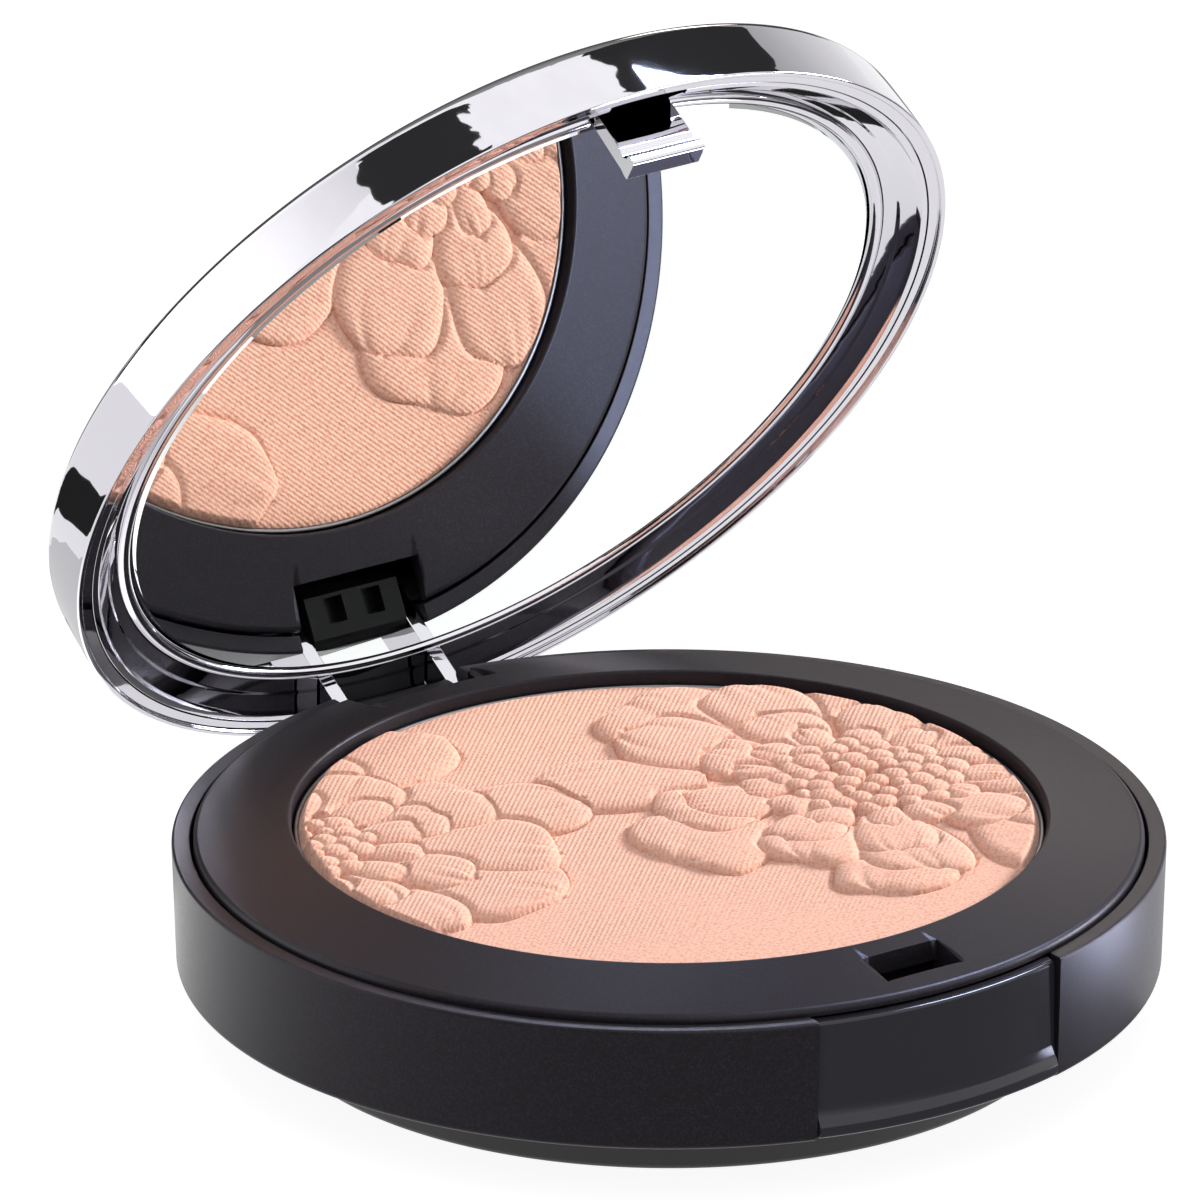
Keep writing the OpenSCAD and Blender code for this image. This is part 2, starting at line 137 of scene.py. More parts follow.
def joint_of(name: str) -> dict:
    """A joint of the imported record."""
    return next(joint for joint in frame["joints"] if joint["name"] == name)


class Hinge:
    """The lid's hinge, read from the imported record."""

    def __init__(self) -> None:
        """Reads the joint's place, axis and the angle between closed and rest."""
        joint = joint_of("lid_hinge")
        self.place = Vector(joint["pos_m"])
        self.axis = Vector(joint["axis"])
        self.rest = -math.radians(joint["range_deg"][0])

    def opened(self) -> Matrix:
        """The matrix that turns a closed lid piece to the rest pose."""
        turn = Matrix.Rotation(self.rest, 4, self.axis)
        return Matrix.Translation(self.place) @ turn @ Matrix.Translation(-self.place)

    def closed_points(self, node: str) -> np.ndarray:
        """Finds where a CAD node of the lid is when the lid is closed.

        Args:
            node: Name of the node.

        Returns:
            Its vertices in mm.
        """
        back = np.array(self.opened().inverted())
        co = np.array([v.co for v in frame["nodes"][node].data.vertices], float)
        return (co @ back[:3, :3].T + back[:3, 3]) / MM


HINGE = Hinge()


def linked(name: str, data: bpy.types.ID) -> Object:
    """Adds an object to the scene.

    Args:
        name: Name of the object.
        data: The mesh, lamp or camera that it holds.

    Returns:
        The new object.
    """
    obj = bpy.data.objects.new(name, data)
    bpy.context.scene.collection.objects.link(obj)
    return obj


def shaded(name: str, bm: bmesh.types.BMesh) -> Object:
    """Turns a bmesh in metres into a smooth-shaded object.

    Args:
        name: Name of the new object.
        bm: The mesh, which is freed here.

    Returns:
        The new object, linked to the scene.
    """
    mesh = bpy.data.meshes.new(name)
    bm.to_mesh(mesh)
    bm.free()
    mesh.shade_smooth()
    mesh.set_sharp_from_angle(angle=SHARP_ANGLE)
    obj = linked(name, mesh)
    obj.modifiers.new("even shading", "WEIGHTED_NORMAL").keep_sharp = True
    return obj


def mesh_object(name: str, bm: bmesh.types.BMesh) -> Object:
    """Cleans a bmesh in mm and turns it into a smooth-shaded object in metres.

    Args:
        name: Name of the new piece.
        bm: The mesh, which is freed here.

    Returns:
        The new object.
    """
    bmesh.ops.remove_doubles(bm, verts=bm.verts, dist=1e-4)
    loose = [v for v in bm.verts if not v.link_faces]
    bmesh.ops.delete(bm, geom=loose, context="VERTS")
    bmesh.ops.recalc_face_normals(bm, faces=bm.faces)
    bmesh.ops.scale(bm, vec=(MM, MM, MM), verts=bm.verts)
    return shaded(name, bm)


def joined(name: str, parts: list[Object]) -> Object:
    """Joins several objects into one piece, which takes their place.

    Args:
        name: Name of the joined piece.
        parts: The objects, which are removed.

    Returns:
        The joined object.
    """
    bm = bmesh.new()
    for part in parts:
        bm.from_mesh(part.data)
        bpy.data.objects.remove(part)
    return shaded(name, bm)


def round_edges(bm: bmesh.types.BMesh, edges: list[bmesh.types.BMEdge], width: float, steps: int = 3) -> None:
    """Rounds edges of a bmesh.

    Args:
        bm: The mesh, in mm.
        edges: Its edges to round.
        width: Width of the rounding in mm.
        steps: Faces across the rounding.
    """
    bmesh.ops.bevel(
        bm, geom=edges, offset=width, segments=steps, profile=0.5, affect="EDGES", clamp_overlap=True
    )


def bridge(bm: bmesh.types.BMesh, first: list, last: list) -> list[bmesh.types.BMFace]:
    """Closes the solid between two rings of points.

    Args:
        bm: The mesh.
        first: The points of one end.
        last: The points of the other end.

    Returns:
        The two end faces.
    """
    ends = [bm.faces.new(ring) for ring in (first, last)]
    for k in range(len(first)):
        j = (k + 1) % len(first)
        bm.faces.new([first[k], first[j], last[j], last[k]])
    return ends


@dataclass(frozen=True)
class Row:
    """One ring of points of a turned shell, in mm.

    A straight cut at distance cut_y from the middle bends the ring to a line across the
    columns next to the front (or the rear), along a surface of the given slope.
    """

    r: float
    z: float
    cut_y: float = 0.0
    at_rear: bool = False
    slope: float = 0.0


@dataclass(frozen=True)
class Columns:
    """Where the columns of a turned shell run, so that they follow flat-sided cuts.

    front and rear hold the half widths of the cuts in mm, from the middle outwards, and
    r_min is the radius under which the columns simply run to the axis.
    """

    front: tuple[float, ...] = ()
    rear: tuple[float, ...] = ()
    around: int = 512
    r_min: float = 25.0

    def counts(self) -> list[int]:
        """How many columns each stretch of half a turn has."""
        ends = self.breaks(np.array([35.0]))[:, 0]
        step = 2 * math.pi / self.around
        return [max(4, round((b - a) / step)) for a, b in zip(ends[:-1], ends[1:])]

    def breaks(self, r: np.ndarray) -> np.ndarray:
        """Finds the angles at which the stretches of half a turn begin and end.

        Args:
            r: Radii in mm.

        Returns:
            A row of angles for each border, with a column for each radius.
        """
        safe = np.maximum(r, self.r_min)
        rows = [np.zeros_like(r)]
        rows += [np.arcsin(w / safe) for w in self.front]
        rows += [math.pi - np.arcsin(w / safe) for w in reversed(self.rear)]
        rows.append(np.full_like(r, math.pi))
        return np.array(rows)

    def index(self, half_width: float, at_rear: bool = False) -> int:
        """Finds the column that runs along a cut's side.

        Args:
            half_width: Half width of the cut in mm.
            at_rear: Whether the cut is at the rear.

        Returns:
            The column of half a turn.
        """
        counts = self.counts()
        if at_rear:
            stretch = len(self.front) + len(self.rear) - self.rear.index(half_width)
        else:
            stretch = self.front.index(half_width) + 1
        return sum(counts[:stretch])

    def place(self, row: Row) -> np.ndarray:
        """Places the points of a row all the way round.

        Args:
            row: The row.

        Returns:
            Their x, y and z in mm.
        """
        counts = self.counts()
        share = np.concatenate([m + np.arange(n) / n for m, n in enumerate(counts)] + [[len(counts)]])
        stretch = np.minimum(share.astype(int), len(counts) - 1)
        t = share - stretch
        r = np.full(len(share), row.r)
        if row.cut_y:
            widths, last = (self.rear, len(counts) - 1) if row.at_rear else (self.front, 0)
            across = widths[0] * ((1 - t) if row.at_rear else t)
            near = stretch == last
            r = np.where(near, np.hypot(row.cut_y, across), math.hypot(row.cut_y, widths[0]))
        ends = self.breaks(r)
        column = np.arange(len(share))
        angle = ends[stretch, column] * (1 - t) + ends[stretch + 1, column] * t
        safe = np.maximum(r, self.r_min)
        if self.front:
            angle = np.where(stretch == 0, np.arcsin(self.front[0] * t / safe), angle)
        if self.rear:
            rear_angle = math.pi - np.arcsin(self.rear[0] * (1 - t) / safe)
            angle = np.where(stretch == len(counts) - 1, rear_angle, angle)
        z = row.z + row.slope * (r - row.r)
        half = np.stack([r * np.sin(angle), -r * np.cos(angle), z], axis=1)
        other = half[-2:0:-1] * np.array([-1.0, 1.0, 1.0])
        return np.concatenate([half, other])


class TurnedShell:
    """A closed turned solid whose cuts have flat sides, with rounded cut edges."""

    def __init__(self, rows: list[Row], columns: Columns) -> None:
        """Places every row of the closed outline.

        Args:
            rows: The outline's rings in order.
            columns: Where the columns run.
        """
        self.points = np.array([columns.place(row) for row in rows])
        self.n_rows, self.n_cols = self.points.shape[:2]
        self.keep = np.ones((self.n_rows, self.n_cols), bool)
        self.extra: list[list[int]] = []
        self.soft: set[frozenset[int]] = set()

    def vertex(self, row: int, col: int) -> int:
        """The index of the point on a row and a column."""
        return (row % self.n_rows) * self.n_cols + col % self.n_cols

    def span(self, first: int, last: int) -> list[int]:
        """The rows from first to last along the outline, passing its end if needed."""
        return [(first + k) % self.n_rows for k in range((last - first) % self.n_rows + 1)]

    def cut(self, first: int, last: int, col0: int, col1: int, floor: bool, bevel: bool = True) -> None:
        """Takes the rows from first to last out between two columns and closes the sides.

        Args:
            first: Row on which the cut begins.
            last: Row on which the cut ends; the same as first for a cut right through.
            col0: Column of one side of the cut.
            col1: Column of its other side.
            floor: Whether a wall joins the first and the last row.
            bevel: Whether the cut's edges on the outside are rounded.
        """
        through = first == last
        rows = list(range(self.n_rows)) if through else self.span(first, last)
        cols = [(col0 + k) % self.n_cols for k in range((col1 - col0) % self.n_cols)]
        for row in rows if through else rows[:-1]:
            self.keep[row, cols] = False
        for col in (col0, col1):
            ring = [self.vertex(row, col) for row in rows]
            self.extra.append(ring)
            if bevel:
                pairs = zip(ring, ring[1:] + ring[:1])
                self.soft |= {frozenset(p) for p in pairs if through or p != (ring[-1], ring[0])}
        if floor:
            for k in cols:
                a, b = self.vertex(first, k), self.vertex(first, k + 1)
                c, d = self.vertex(last, k + 1), self.vertex(last, k)
                self.extra.append([a, b, c, d])
                if bevel:
                    self.soft |= {frozenset((a, b)), frozenset((c, d))}

    def hole(self, top: tuple[int, int], under: tuple[int, int], col0: int, col1: int) -> None:
        """Cuts a four-sided hole through two facing surfaces and walls it.

        Args:
            top: First and last row of the hole on the upper surface.
            under: First and last row of the hole on the lower surface.
            col0: Column of one side of the hole.
            col1: Column of its other side.
        """
        cols = [(col0 + k) % self.n_cols for k in range((col1 - col0) % self.n_cols)]
        for first, last in (top, under):
            for row in self.span(first, last)[:-1]:
                self.keep[row, cols] = False
        for col in (col0, col1):
            upper = [self.vertex(row, col) for row in self.span(*top)]
            lower = [self.vertex(row, col) for row in self.span(*under)]
            self.extra.append(upper + lower)
            self.soft |= {frozenset(p) for p in zip(upper, upper[1:])}
        for upper_row, lower_row in ((top[0], under[1]), (top[1], under[0])):
            for k in cols:
                a, b = self.vertex(upper_row, k), self.vertex(upper_row, k + 1)
                self.extra.append([a, b, self.vertex(lower_row, k + 1), self.vertex(lower_row, k)])
                self.soft.add(frozenset((a, b)))

    def build(self, name: str, bevel: float = 0.0) -> Object:
        """Makes the object.

        Args:
            name: Name of the piece.
            bevel: Width of the rounding along the cuts' edges, in mm.

        Returns:
            The closed, smooth-shaded object.
        """
        bm = bmesh.new()
        verts = [bm.verts.new(p) for p in self.points.reshape(-1, 3)]
        faces = [
            [self.vertex(i, j), self.vertex(i, j + 1), self.vertex(i + 1, j + 1), self.vertex(i + 1, j)]
            for i in range(self.n_rows)
            for j in range(self.n_cols)
            if self.keep[i, j]
        ]
        for face in faces + self.extra:
            bm.faces.new([verts[k] for k in face])
        bm.verts.index_update()
        if bevel and self.soft:
            edges = [e for e in bm.edges if frozenset(v.index for v in e.verts) in self.soft]
            round_edges(bm, edges, bevel)
        return mesh_object(name, bm)


def turned(name: str, corners: list[Corner], steps: int = 8, around: int = 512) -> Object:
    """A plain solid of revolution.

    Args:
        name: Name of the piece.
        corners: The closed outline as radius and height; corners on the axis have radius 0.
        steps: Points along a rounded right-angled corner.
        around: Columns in a full turn.

    Returns:
        The new object.
    """
    points, _ = rounded(corners, steps)
    bm = bmesh.new()
    angles = np.linspace(0, 2 * math.pi, around, endpoint=False)
    rings = []
    for r, z in points:
        if r < 1e-6:
            rings.append([bm.verts.new((0, 0, z))] * around)
        else:
            rings.append([bm.verts.new((r * math.cos(a), r * math.sin(a), z)) for a in angles])
    for ring, after in zip(rings, rings[1:] + rings[:1]):
        for j in range(around):
            quad = [ring[j], ring[(j + 1) % around], after[(j + 1) % around], after[j]]
            unique = list(dict.fromkeys(quad))
            if len(unique) > 2:
                bm.faces.new(unique)
    return mesh_object(name, bm)


def arc(a: float, b: float, r: float, start: float, end: float, count: int) -> np.ndarray:
    """Places points along an arc.

    Args:
        a: First coordinate of its middle.
        b: Second coordinate of its middle.
        r: Its radius.
        start: Angle at which it starts, in radians.
        end: Angle at which it ends.
        count: How many points it has.

    Returns:
        The points.
    """
    angles = np.linspace(start, end, count)
    return np.stack([a + r * np.cos(angles), b + r * np.sin(angles)], axis=1)


def prism(name: str, outline: np.ndarray, x0: float, x1: float, bevel: float) -> Object:
    """A plate between two planes across X with rounded edges.

    Args:
        name: Name of the piece.
        outline: The outline as y and z, in mm.
        x0: Lower end along X.
        x1: Upper end along X.
        bevel: Width of the rounding of its side edges.

    Returns:
        The new object.
    """
    bm = bmesh.new()
    ends = bridge(bm, *([bm.verts.new((x, y, z)) for y, z in outline] for x in (x0, x1)))
    round_edges(bm, list({e for end in ends for e in end.edges}), bevel)
    return mesh_object(name, bm)


def twins(name: str, outline: np.ndarray, near: float, far: float) -> list[Object]:
    """Makes a plate on each side of the middle.

    Args:
        name: Name of the pieces.
        outline: Their outline as y and z, in mm.
        near: How far from the middle they start.
        far: How far from the middle they end.

    Returns:
        The left and the right plate.
    """
    return [prism(name, outline, *sorted((side * near, side * far)), 0.1) for side in (-1, 1)]


def soft_box(name: str, low: tuple[float, ...], high: tuple[float, ...], bevel: float) -> Object:
    """A box with rounded edges between two opposite corners, in mm.

    Args:
        name: Name of the piece.
        low: Lowest corner.
        high: Highest corner.
        bevel: Width of the rounding.

    Returns:
        The new object.
    """
    lo, hi = np.array(low), np.array(high)
    bm = bmesh.new()
    bmesh.ops.create_cube(bm, size=1.0)
    for v in bm.verts:
        v.co = Vector((lo + hi) / 2 + np.array(v.co) * (hi - lo))
    round_edges(bm, list(bm.edges), bevel, steps=2)
    return mesh_object(name, bm)


# ---------------------------------------------------------------- finishes


def linear(hex_colour: str) -> tuple[float, float, float, float]:
    """Turns an sRGB hex colour into a linear one.

    Args:
        hex_colour: The colour, such as "#d2d0d6".

    Returns:
        Red, green, blue and alpha.
    """
    parts = [int(hex_colour[k : k + 2], 16) / 255 for k in (1, 3, 5)]
    bent = [c / 12.92 if c <= 0.04045 else ((c + 0.055) / 1.055) ** 2.4 for c in parts]
    return (*bent, 1.0)


def add_node(
    tree: bpy.types.NodeTree,
    kind: str,
    settings: dict[str, object] | None = None,
    inputs: dict[str | int, object] | None = None,
) -> bpy.types.Node:
    """Adds a node with its settings and links.

    Args:
        tree: The material's node tree.
        kind: Blender's name for the node.
        settings: Values of the node's own properties.
        inputs: For each input, a value or the output socket that feeds it.

    Returns:
        The new node.
    """
    node = tree.nodes.new(kind)
    for key, value in (settings or {}).items():
        setattr(node, key, value)
    for key, value in (inputs or {}).items():
        if isinstance(value, NodeSocket):
            tree.links.new(value, node.inputs[key])
        else:
            node.inputs[key].default_value = value
    return node


def per_mm(size_mm: float) -> float:
    """The texture scale at which one cell is size_mm wide, for coordinates in metres."""
    return 1.0 / (size_mm * MM)


class Recipe:
    """A material in the making, with short ways to add the nodes that finishes share."""

    def __init__(self, name: str) -> None:
        """Starts an empty material with the object's own coordinates.

        Args:
            name: Name of the material.
        """
        self.material = bpy.data.materials.new(name)
        self.material.use_nodes = True
        self.tree = self.material.node_tree
        self.tree.nodes.clear()
        self.where = add_node(self.tree, "ShaderNodeTexCoord").outputs["Object"]

    def noise(self, size_mm: float, **inputs: float) -> NodeSocket:
        """Cloudy noise whose cells are size_mm wide, with the node's other inputs by name."""
        values = {"Vector": self.where, "Scale": per_mm(size_mm), **inputs}
        return add_node(self.tree, "ShaderNodeTexNoise", inputs=values).outputs["Fac"]

    def cells(self, size_mm: float) -> bpy.types.Node:
        """Packed cells that are size_mm wide."""
        values = {"Vector": self.where, "Scale": per_mm(size_mm)}
        return add_node(self.tree, "ShaderNodeTexVoronoi", inputs=values)

    def spread(
        self,
        value: NodeSocket,
        low: float,
        high: float,
        start: float = 0.0,
        end: float = 1.0,
        clamp: bool = True,
    ) -> NodeSocket:
        """Spreads a value over a range.

        Args:
            value: The value.
            low: What start becomes.
            high: What end becomes.
            start: The value that becomes low.
            end: The value that becomes high.
            clamp: Whether the result stays between low and high.

        Returns:
            The new value.
        """
        values = {"Value": value, "From Min": start, "From Max": end, "To Min": low, "To Max": high}
        return add_node(self.tree, "ShaderNodeMapRange", {"clamp": clamp}, values).outputs[0]

    def sum(self, operation: str, *values: object) -> NodeSocket:
        """Works a sum out.

        Args:
            operation: Blender's name for the operation.
            *values: Its numbers and sockets in order.

        Returns:
            The result.
        """
        return add_node(
            self.tree, "ShaderNodeMath", {"operation": operation}, dict(enumerate(values))
        ).outputs[0]

    def along(self, axis: str, where: NodeSocket) -> NodeSocket:
        """One coordinate of a place."""
        return add_node(self.tree, "ShaderNodeSeparateXYZ", inputs={0: where}).outputs[axis]

    def blend(self, share: NodeSocket, first: str, last: str) -> NodeSocket:
        """A colour between two hex colours."""
        values = {"Factor": share, 6: linear(first), 7: linear(last)}
        return add_node(self.tree, "ShaderNodeMix", {"data_type": "RGBA"}, values).outputs[2]

    def bump(
        self, height: NodeSocket, strength: float, depth_mm: float, **inputs: object
    ) -> NodeSocket:
        """A finely uneven surface.

        Args:
            height: How high the surface stands, from 0 to 1.
            strength: How much of the unevenness shows.
            depth_mm: Its full height.
            **inputs: The node's other inputs by name.

        Returns:
            The surface's direction.
        """
        values = {"Strength": strength, "Distance": depth_mm * MM, "Height": height, **inputs}
        return add_node(self.tree, "ShaderNodeBump", inputs=values).outputs[0]

    def surface(self, inputs: dict[str | int, object]) -> Material:
        """Adds the surface shader and the output.

        Args:
            inputs: The shader's values and links.

        Returns:
            The finished material.
        """
        shader = add_node(self.tree, "ShaderNodeBsdfPrincipled", inputs=inputs)
        add_node(self.tree, "ShaderNodeOutputMaterial", inputs={"Surface": shader.outputs[0]})
        return self.material

    def metal(self, colour: str, roughness: NodeSocket) -> Material:
        """The finished material of a bare metal surface."""
        return self.surface({"Base Color": linear(colour), "Metallic": 1.0, "Roughness": roughness})


@dataclass(frozen=True)
class PearlLacquer:
    """Black ABS under a satin lacquer with fine mica flakes.

    The lacquer scatters reflections softly, and single flakes catch the light as a fine
    blue-grey sparkle.
    """

    name: str = "pearl_lacquer_satin"
    dark: str = "#191518"
    flake: str = "#24252f"
    sheen: str = "#eae6f2"
    roughness: float = 0.38
    flake_mm: float = 0.11

    def build(self) -> Material:
        """Makes the material."""
        recipe = Recipe(self.name)
        flakes = recipe.cells(self.flake_mm)
        pick = flakes.outputs["Color"]
        return recipe.surface(
            {
                "Base Color": recipe.blend(recipe.spread(pick, 0.0, 1.0, 0.55), self.dark, self.flake),
                "Roughness": recipe.spread(pick, self.roughness - 0.04, self.roughness + 0.05),
                "Normal": recipe.bump(flakes.outputs["Distance"], 0.25, 0.01),
                "IOR": 1.52,
                "Specular IOR Level": 0.25,
                "Specular Tint": linear(self.sheen),
            }
        )


@dataclass(frozen=True)
class MouldedAbs:
    """Injection-moulded ABS. Polished tools leave it glossy and blasted ones satin."""

    name: str
    colour: str
    roughness: float
    grain_mm: float
    grain_depth_mm: float
    gleam: float = 0.35

    def build(self) -> Material:
        """Makes the material."""
        recipe = Recipe(self.name)
        grain = recipe.noise(self.grain_mm, Detail=3.0)
        return recipe.surface(
            {
                "Base Color": linear(self.colour),
                "Roughness": recipe.spread(grain, self.roughness * 0.85, self.roughness * 1.15),
                "Normal": recipe.bump(grain, 0.3, self.grain_depth_mm),
                "IOR": 1.54,
                "Specular IOR Level": self.gleam,
            }
        )


@dataclass(frozen=True)
class ChromePlate:
    """Bright chrome over moulded ABS: a mirror whose slight waviness bends reflections."""

    name: str = "chrome_plate_bright"
    colour: str = "#d2d0d6"
    roughness: float = 0.03
    wave_mm: float = 2.4
    wave_depth_mm: float = 0.012

    def build(self) -> Material:
        """Makes the material."""
        recipe = Recipe(self.name)
        waves = recipe.noise(self.wave_mm, Detail=1.5, Roughness=0.4)
        return recipe.surface(
            {
                "Base Color": linear(self.colour),
                "Metallic": 1.0,
                "Roughness": recipe.spread(waves, self.roughness * 0.7, self.roughness * 1.3),
                "Normal": recipe.bump(waves, 1.0, self.wave_depth_mm),
            }
        )


@dataclass(frozen=True)
class DrawnMetal:
    """Drawn sheet or wire, whose fine grain makes the shine slightly uneven."""

    name: str
    colour: str
    roughness: float
    grain_mm: float = 0.08

    def build(self) -> Material:
        """Makes the material."""
        recipe = Recipe(self.name)
        grain = recipe.noise(self.grain_mm)
        return recipe.metal(self.colour, recipe.spread(grain, self.roughness * 0.8, self.roughness * 1.2))


@dataclass(frozen=True)
class SoftFill:
    """Hot-melt glue or foam: dull and slightly uneven; cells darker towards their middles give painted shade
    in the foam's open cells and an uneven tone in the glue.
    """

    name: str
    colour: str
    # shade: the colour at each cell's middle; painted shade in the foam's open cells, an uneven tone in the
    # glue
    shade: str
    cell_mm: float

    def build(self) -> Material:
        """Makes the material."""
        recipe = Recipe(self.name)
        # Each cell is darker towards its middle: painted shade in the foam's open cells, uneven tone in the
        # glue.
        share = recipe.cells(self.cell_mm).outputs["Distance"]
        return recipe.surface(
            {"Base Color": recipe.blend(share, self.shade, self.colour), "Roughness": 0.75}
        )


@dataclass(frozen=True)
class Silvering:
    """A silvered face, which reflects nearly everything and is barely uneven.

    Through float glass it looks faintly green; as the bare deposited layer it is neutral.
    """

    name: str
    colour: str
    drift_mm: float
    haze: float

    def build(self) -> Material:
        """Makes the material."""
        recipe = Recipe(self.name)
        return recipe.metal(self.colour, recipe.spread(recipe.noise(self.drift_mm), 0.0, self.haze))


@dataclass(frozen=True)
class PressedPowder:
    """Talc and pigment pressed through linen.

    The cloth leaves a slanting weave in the surface, the die leaves fine pores, and the powder itself is dull
    with a soft bloom at grazing angles. The pores' hollows take the deep colour as painted shade.
    """

    name: str = "powder_pressed_linen"
    colour: str = "#dfb09b"
    # deep: painted shade, the darker colour laid into the pores' hollows
    deep: str = "#c98d76"
    thread_mm: float = 0.38
    thread_depth_mm: float = 0.03
    thread_turn_deg: float = 45.0
    pore_mm: float = 0.3

    def weave(self, recipe: Recipe) -> NodeSocket:
        """Lays main threads one way, crossed more faintly by others.

        Args:
            recipe: The material in the making.

        Returns:
            The weave's height.
        """
        turn = (0.0, 0.0, math.radians(self.thread_turn_deg))
        cloth = add_node(
            recipe.tree, "ShaderNodeMapping", inputs={"Vector": recipe.where, "Rotation": turn}
        ).outputs[0]
        main, cross = (
            recipe.sum("SINE", recipe.sum("MULTIPLY", recipe.along(axis, cloth), 2 * math.pi * per_mm(pitch)))
            for axis, pitch in (("X", self.thread_mm), ("Y", self.thread_mm * 1.3))
        )
        return recipe.sum("MULTIPLY", main, recipe.spread(cross, 0.45, 1.0, -1.0))

    def build(self) -> Material:
        """Makes the material, with the weave pressed deeper towards the rear and in patches."""
        recipe = Recipe(self.name)
        rearward = recipe.spread(recipe.along("Y", recipe.where), 0.0, 1.0, -22 * MM, 12 * MM, clamp=False)
        patches = recipe.sum("MULTIPLY_ADD", recipe.noise(9.0, Detail=1.0), 1.2, rearward)
        imprint = recipe.sum("MULTIPLY", self.weave(recipe), recipe.spread(patches, 0.12, 1.0, 0.55, 1.2))
        pores = recipe.noise(self.pore_mm, Detail=4.0, Roughness=0.6)
        cloth = recipe.bump(imprint, 0.8, self.thread_depth_mm)
        return recipe.surface(
            {
                # Painted shade: the low spots of the pore noise, which the bump sinks, take the deep colour.
                "Base Color": recipe.blend(recipe.spread(pores, 0.0, 1.0, 0.3, 0.55), self.deep, self.colour),
                "Roughness": 0.88,
                "Normal": recipe.bump(pores, 0.6, 0.04, Normal=cloth),
                "Sheen Weight": 0.15,
                "Sheen Roughness": 0.5,
                "Specular IOR Level": 0.25,
            }
        )


class Finish(Enum):
    """The finishes of the compact's pieces."""

    PEARL = PearlLacquer()
    FOOT = MouldedAbs("abs_moulded_satin", "#1a171a", 0.42, 0.4, 0.02)
    GLOSS = MouldedAbs("abs_moulded_gloss", "#24232a", 0.13, 1.2, 0.002)
    BLOCK = MouldedAbs("abs_moulded_black", "#0b0a0d", 0.3, 0.8, 0.004, 0.15)
    CHROME = ChromePlate()
    STEEL = DrawnMetal("steel_drawn", "#b9bcc2", 0.3)
    ALUMINIUM = DrawnMetal("aluminium_deep_drawn", "#8e8c8c", 0.4)
    GLUE = SoftFill("hot_melt_glue", "#e6dfc8", "#d6ccb0", 1.5)
    FOAM = SoftFill("foam_tape", "#f2f0e8", "#d8d5ca", 0.5)
    GLASS = Silvering("float_glass_silvered", "#f6f9f8", 40.0, 0.004)
    SILVER = Silvering("silver_deposited", "#f7f7f6", 25.0, 0.003)
    POWDER = PressedPowder()


class Wardrobe:
    """Builds each finish once and dresses pieces with it."""

    def __init__(self) -> None:
        """Starts with no material built."""
        self.built: dict[Finish, Material] = {}

    def dress(self, obj: Object, finish: Finish) -> None:
        """Gives a piece one finish all over.

        Args:
            obj: The piece.
            finish: Its finish, which is built when first used.
        """
        if finish not in self.built:
            self.built[finish] = finish.value.build()
        obj.data.materials.clear()
        obj.data.materials.append(self.built[finish])


WARDROBE = Wardrobe()


def settle(obj: Object, finish: Finish, body: str, node: str) -> None:
    """Dresses a piece, ties it to its body and hides the CAD node that it stands in for.

    Args:
        obj: The piece, in place.
        finish: Its finish.
        body: The CAD body that it rides on.
        node: The CAD node that it replaces.
    """
    WARDROBE.dress(obj, finish)
    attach(obj, body)
    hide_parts(node)
    LOG.info("%s: %d faces on %s", obj.name, len(obj.data.polygons), body)


def rows_of(corners: list[Corner], steps: int = 8) -> tuple[list[Row], dict[str, int]]:
    """Makes the rings of a turned shell from its outline.

    Args:
        corners: The outline as radius and height.
        steps: Points along a rounded right-angled corner.

    Returns:
        The rings, and the index of each tagged corner's first ring.
    """
    points, tags = rounded(corners, steps)
    return [Row(float(r), float(z)) for r, z in points], tags


def span_of(node: str) -> tuple[list[float], list[float]]:
    """A CAD node's lowest and highest corner, in mm."""
    low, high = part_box(node)
    return [float(v) / MM for v in low], [float(v) / MM for v in high]


# ---------------------------------------------------------------- base


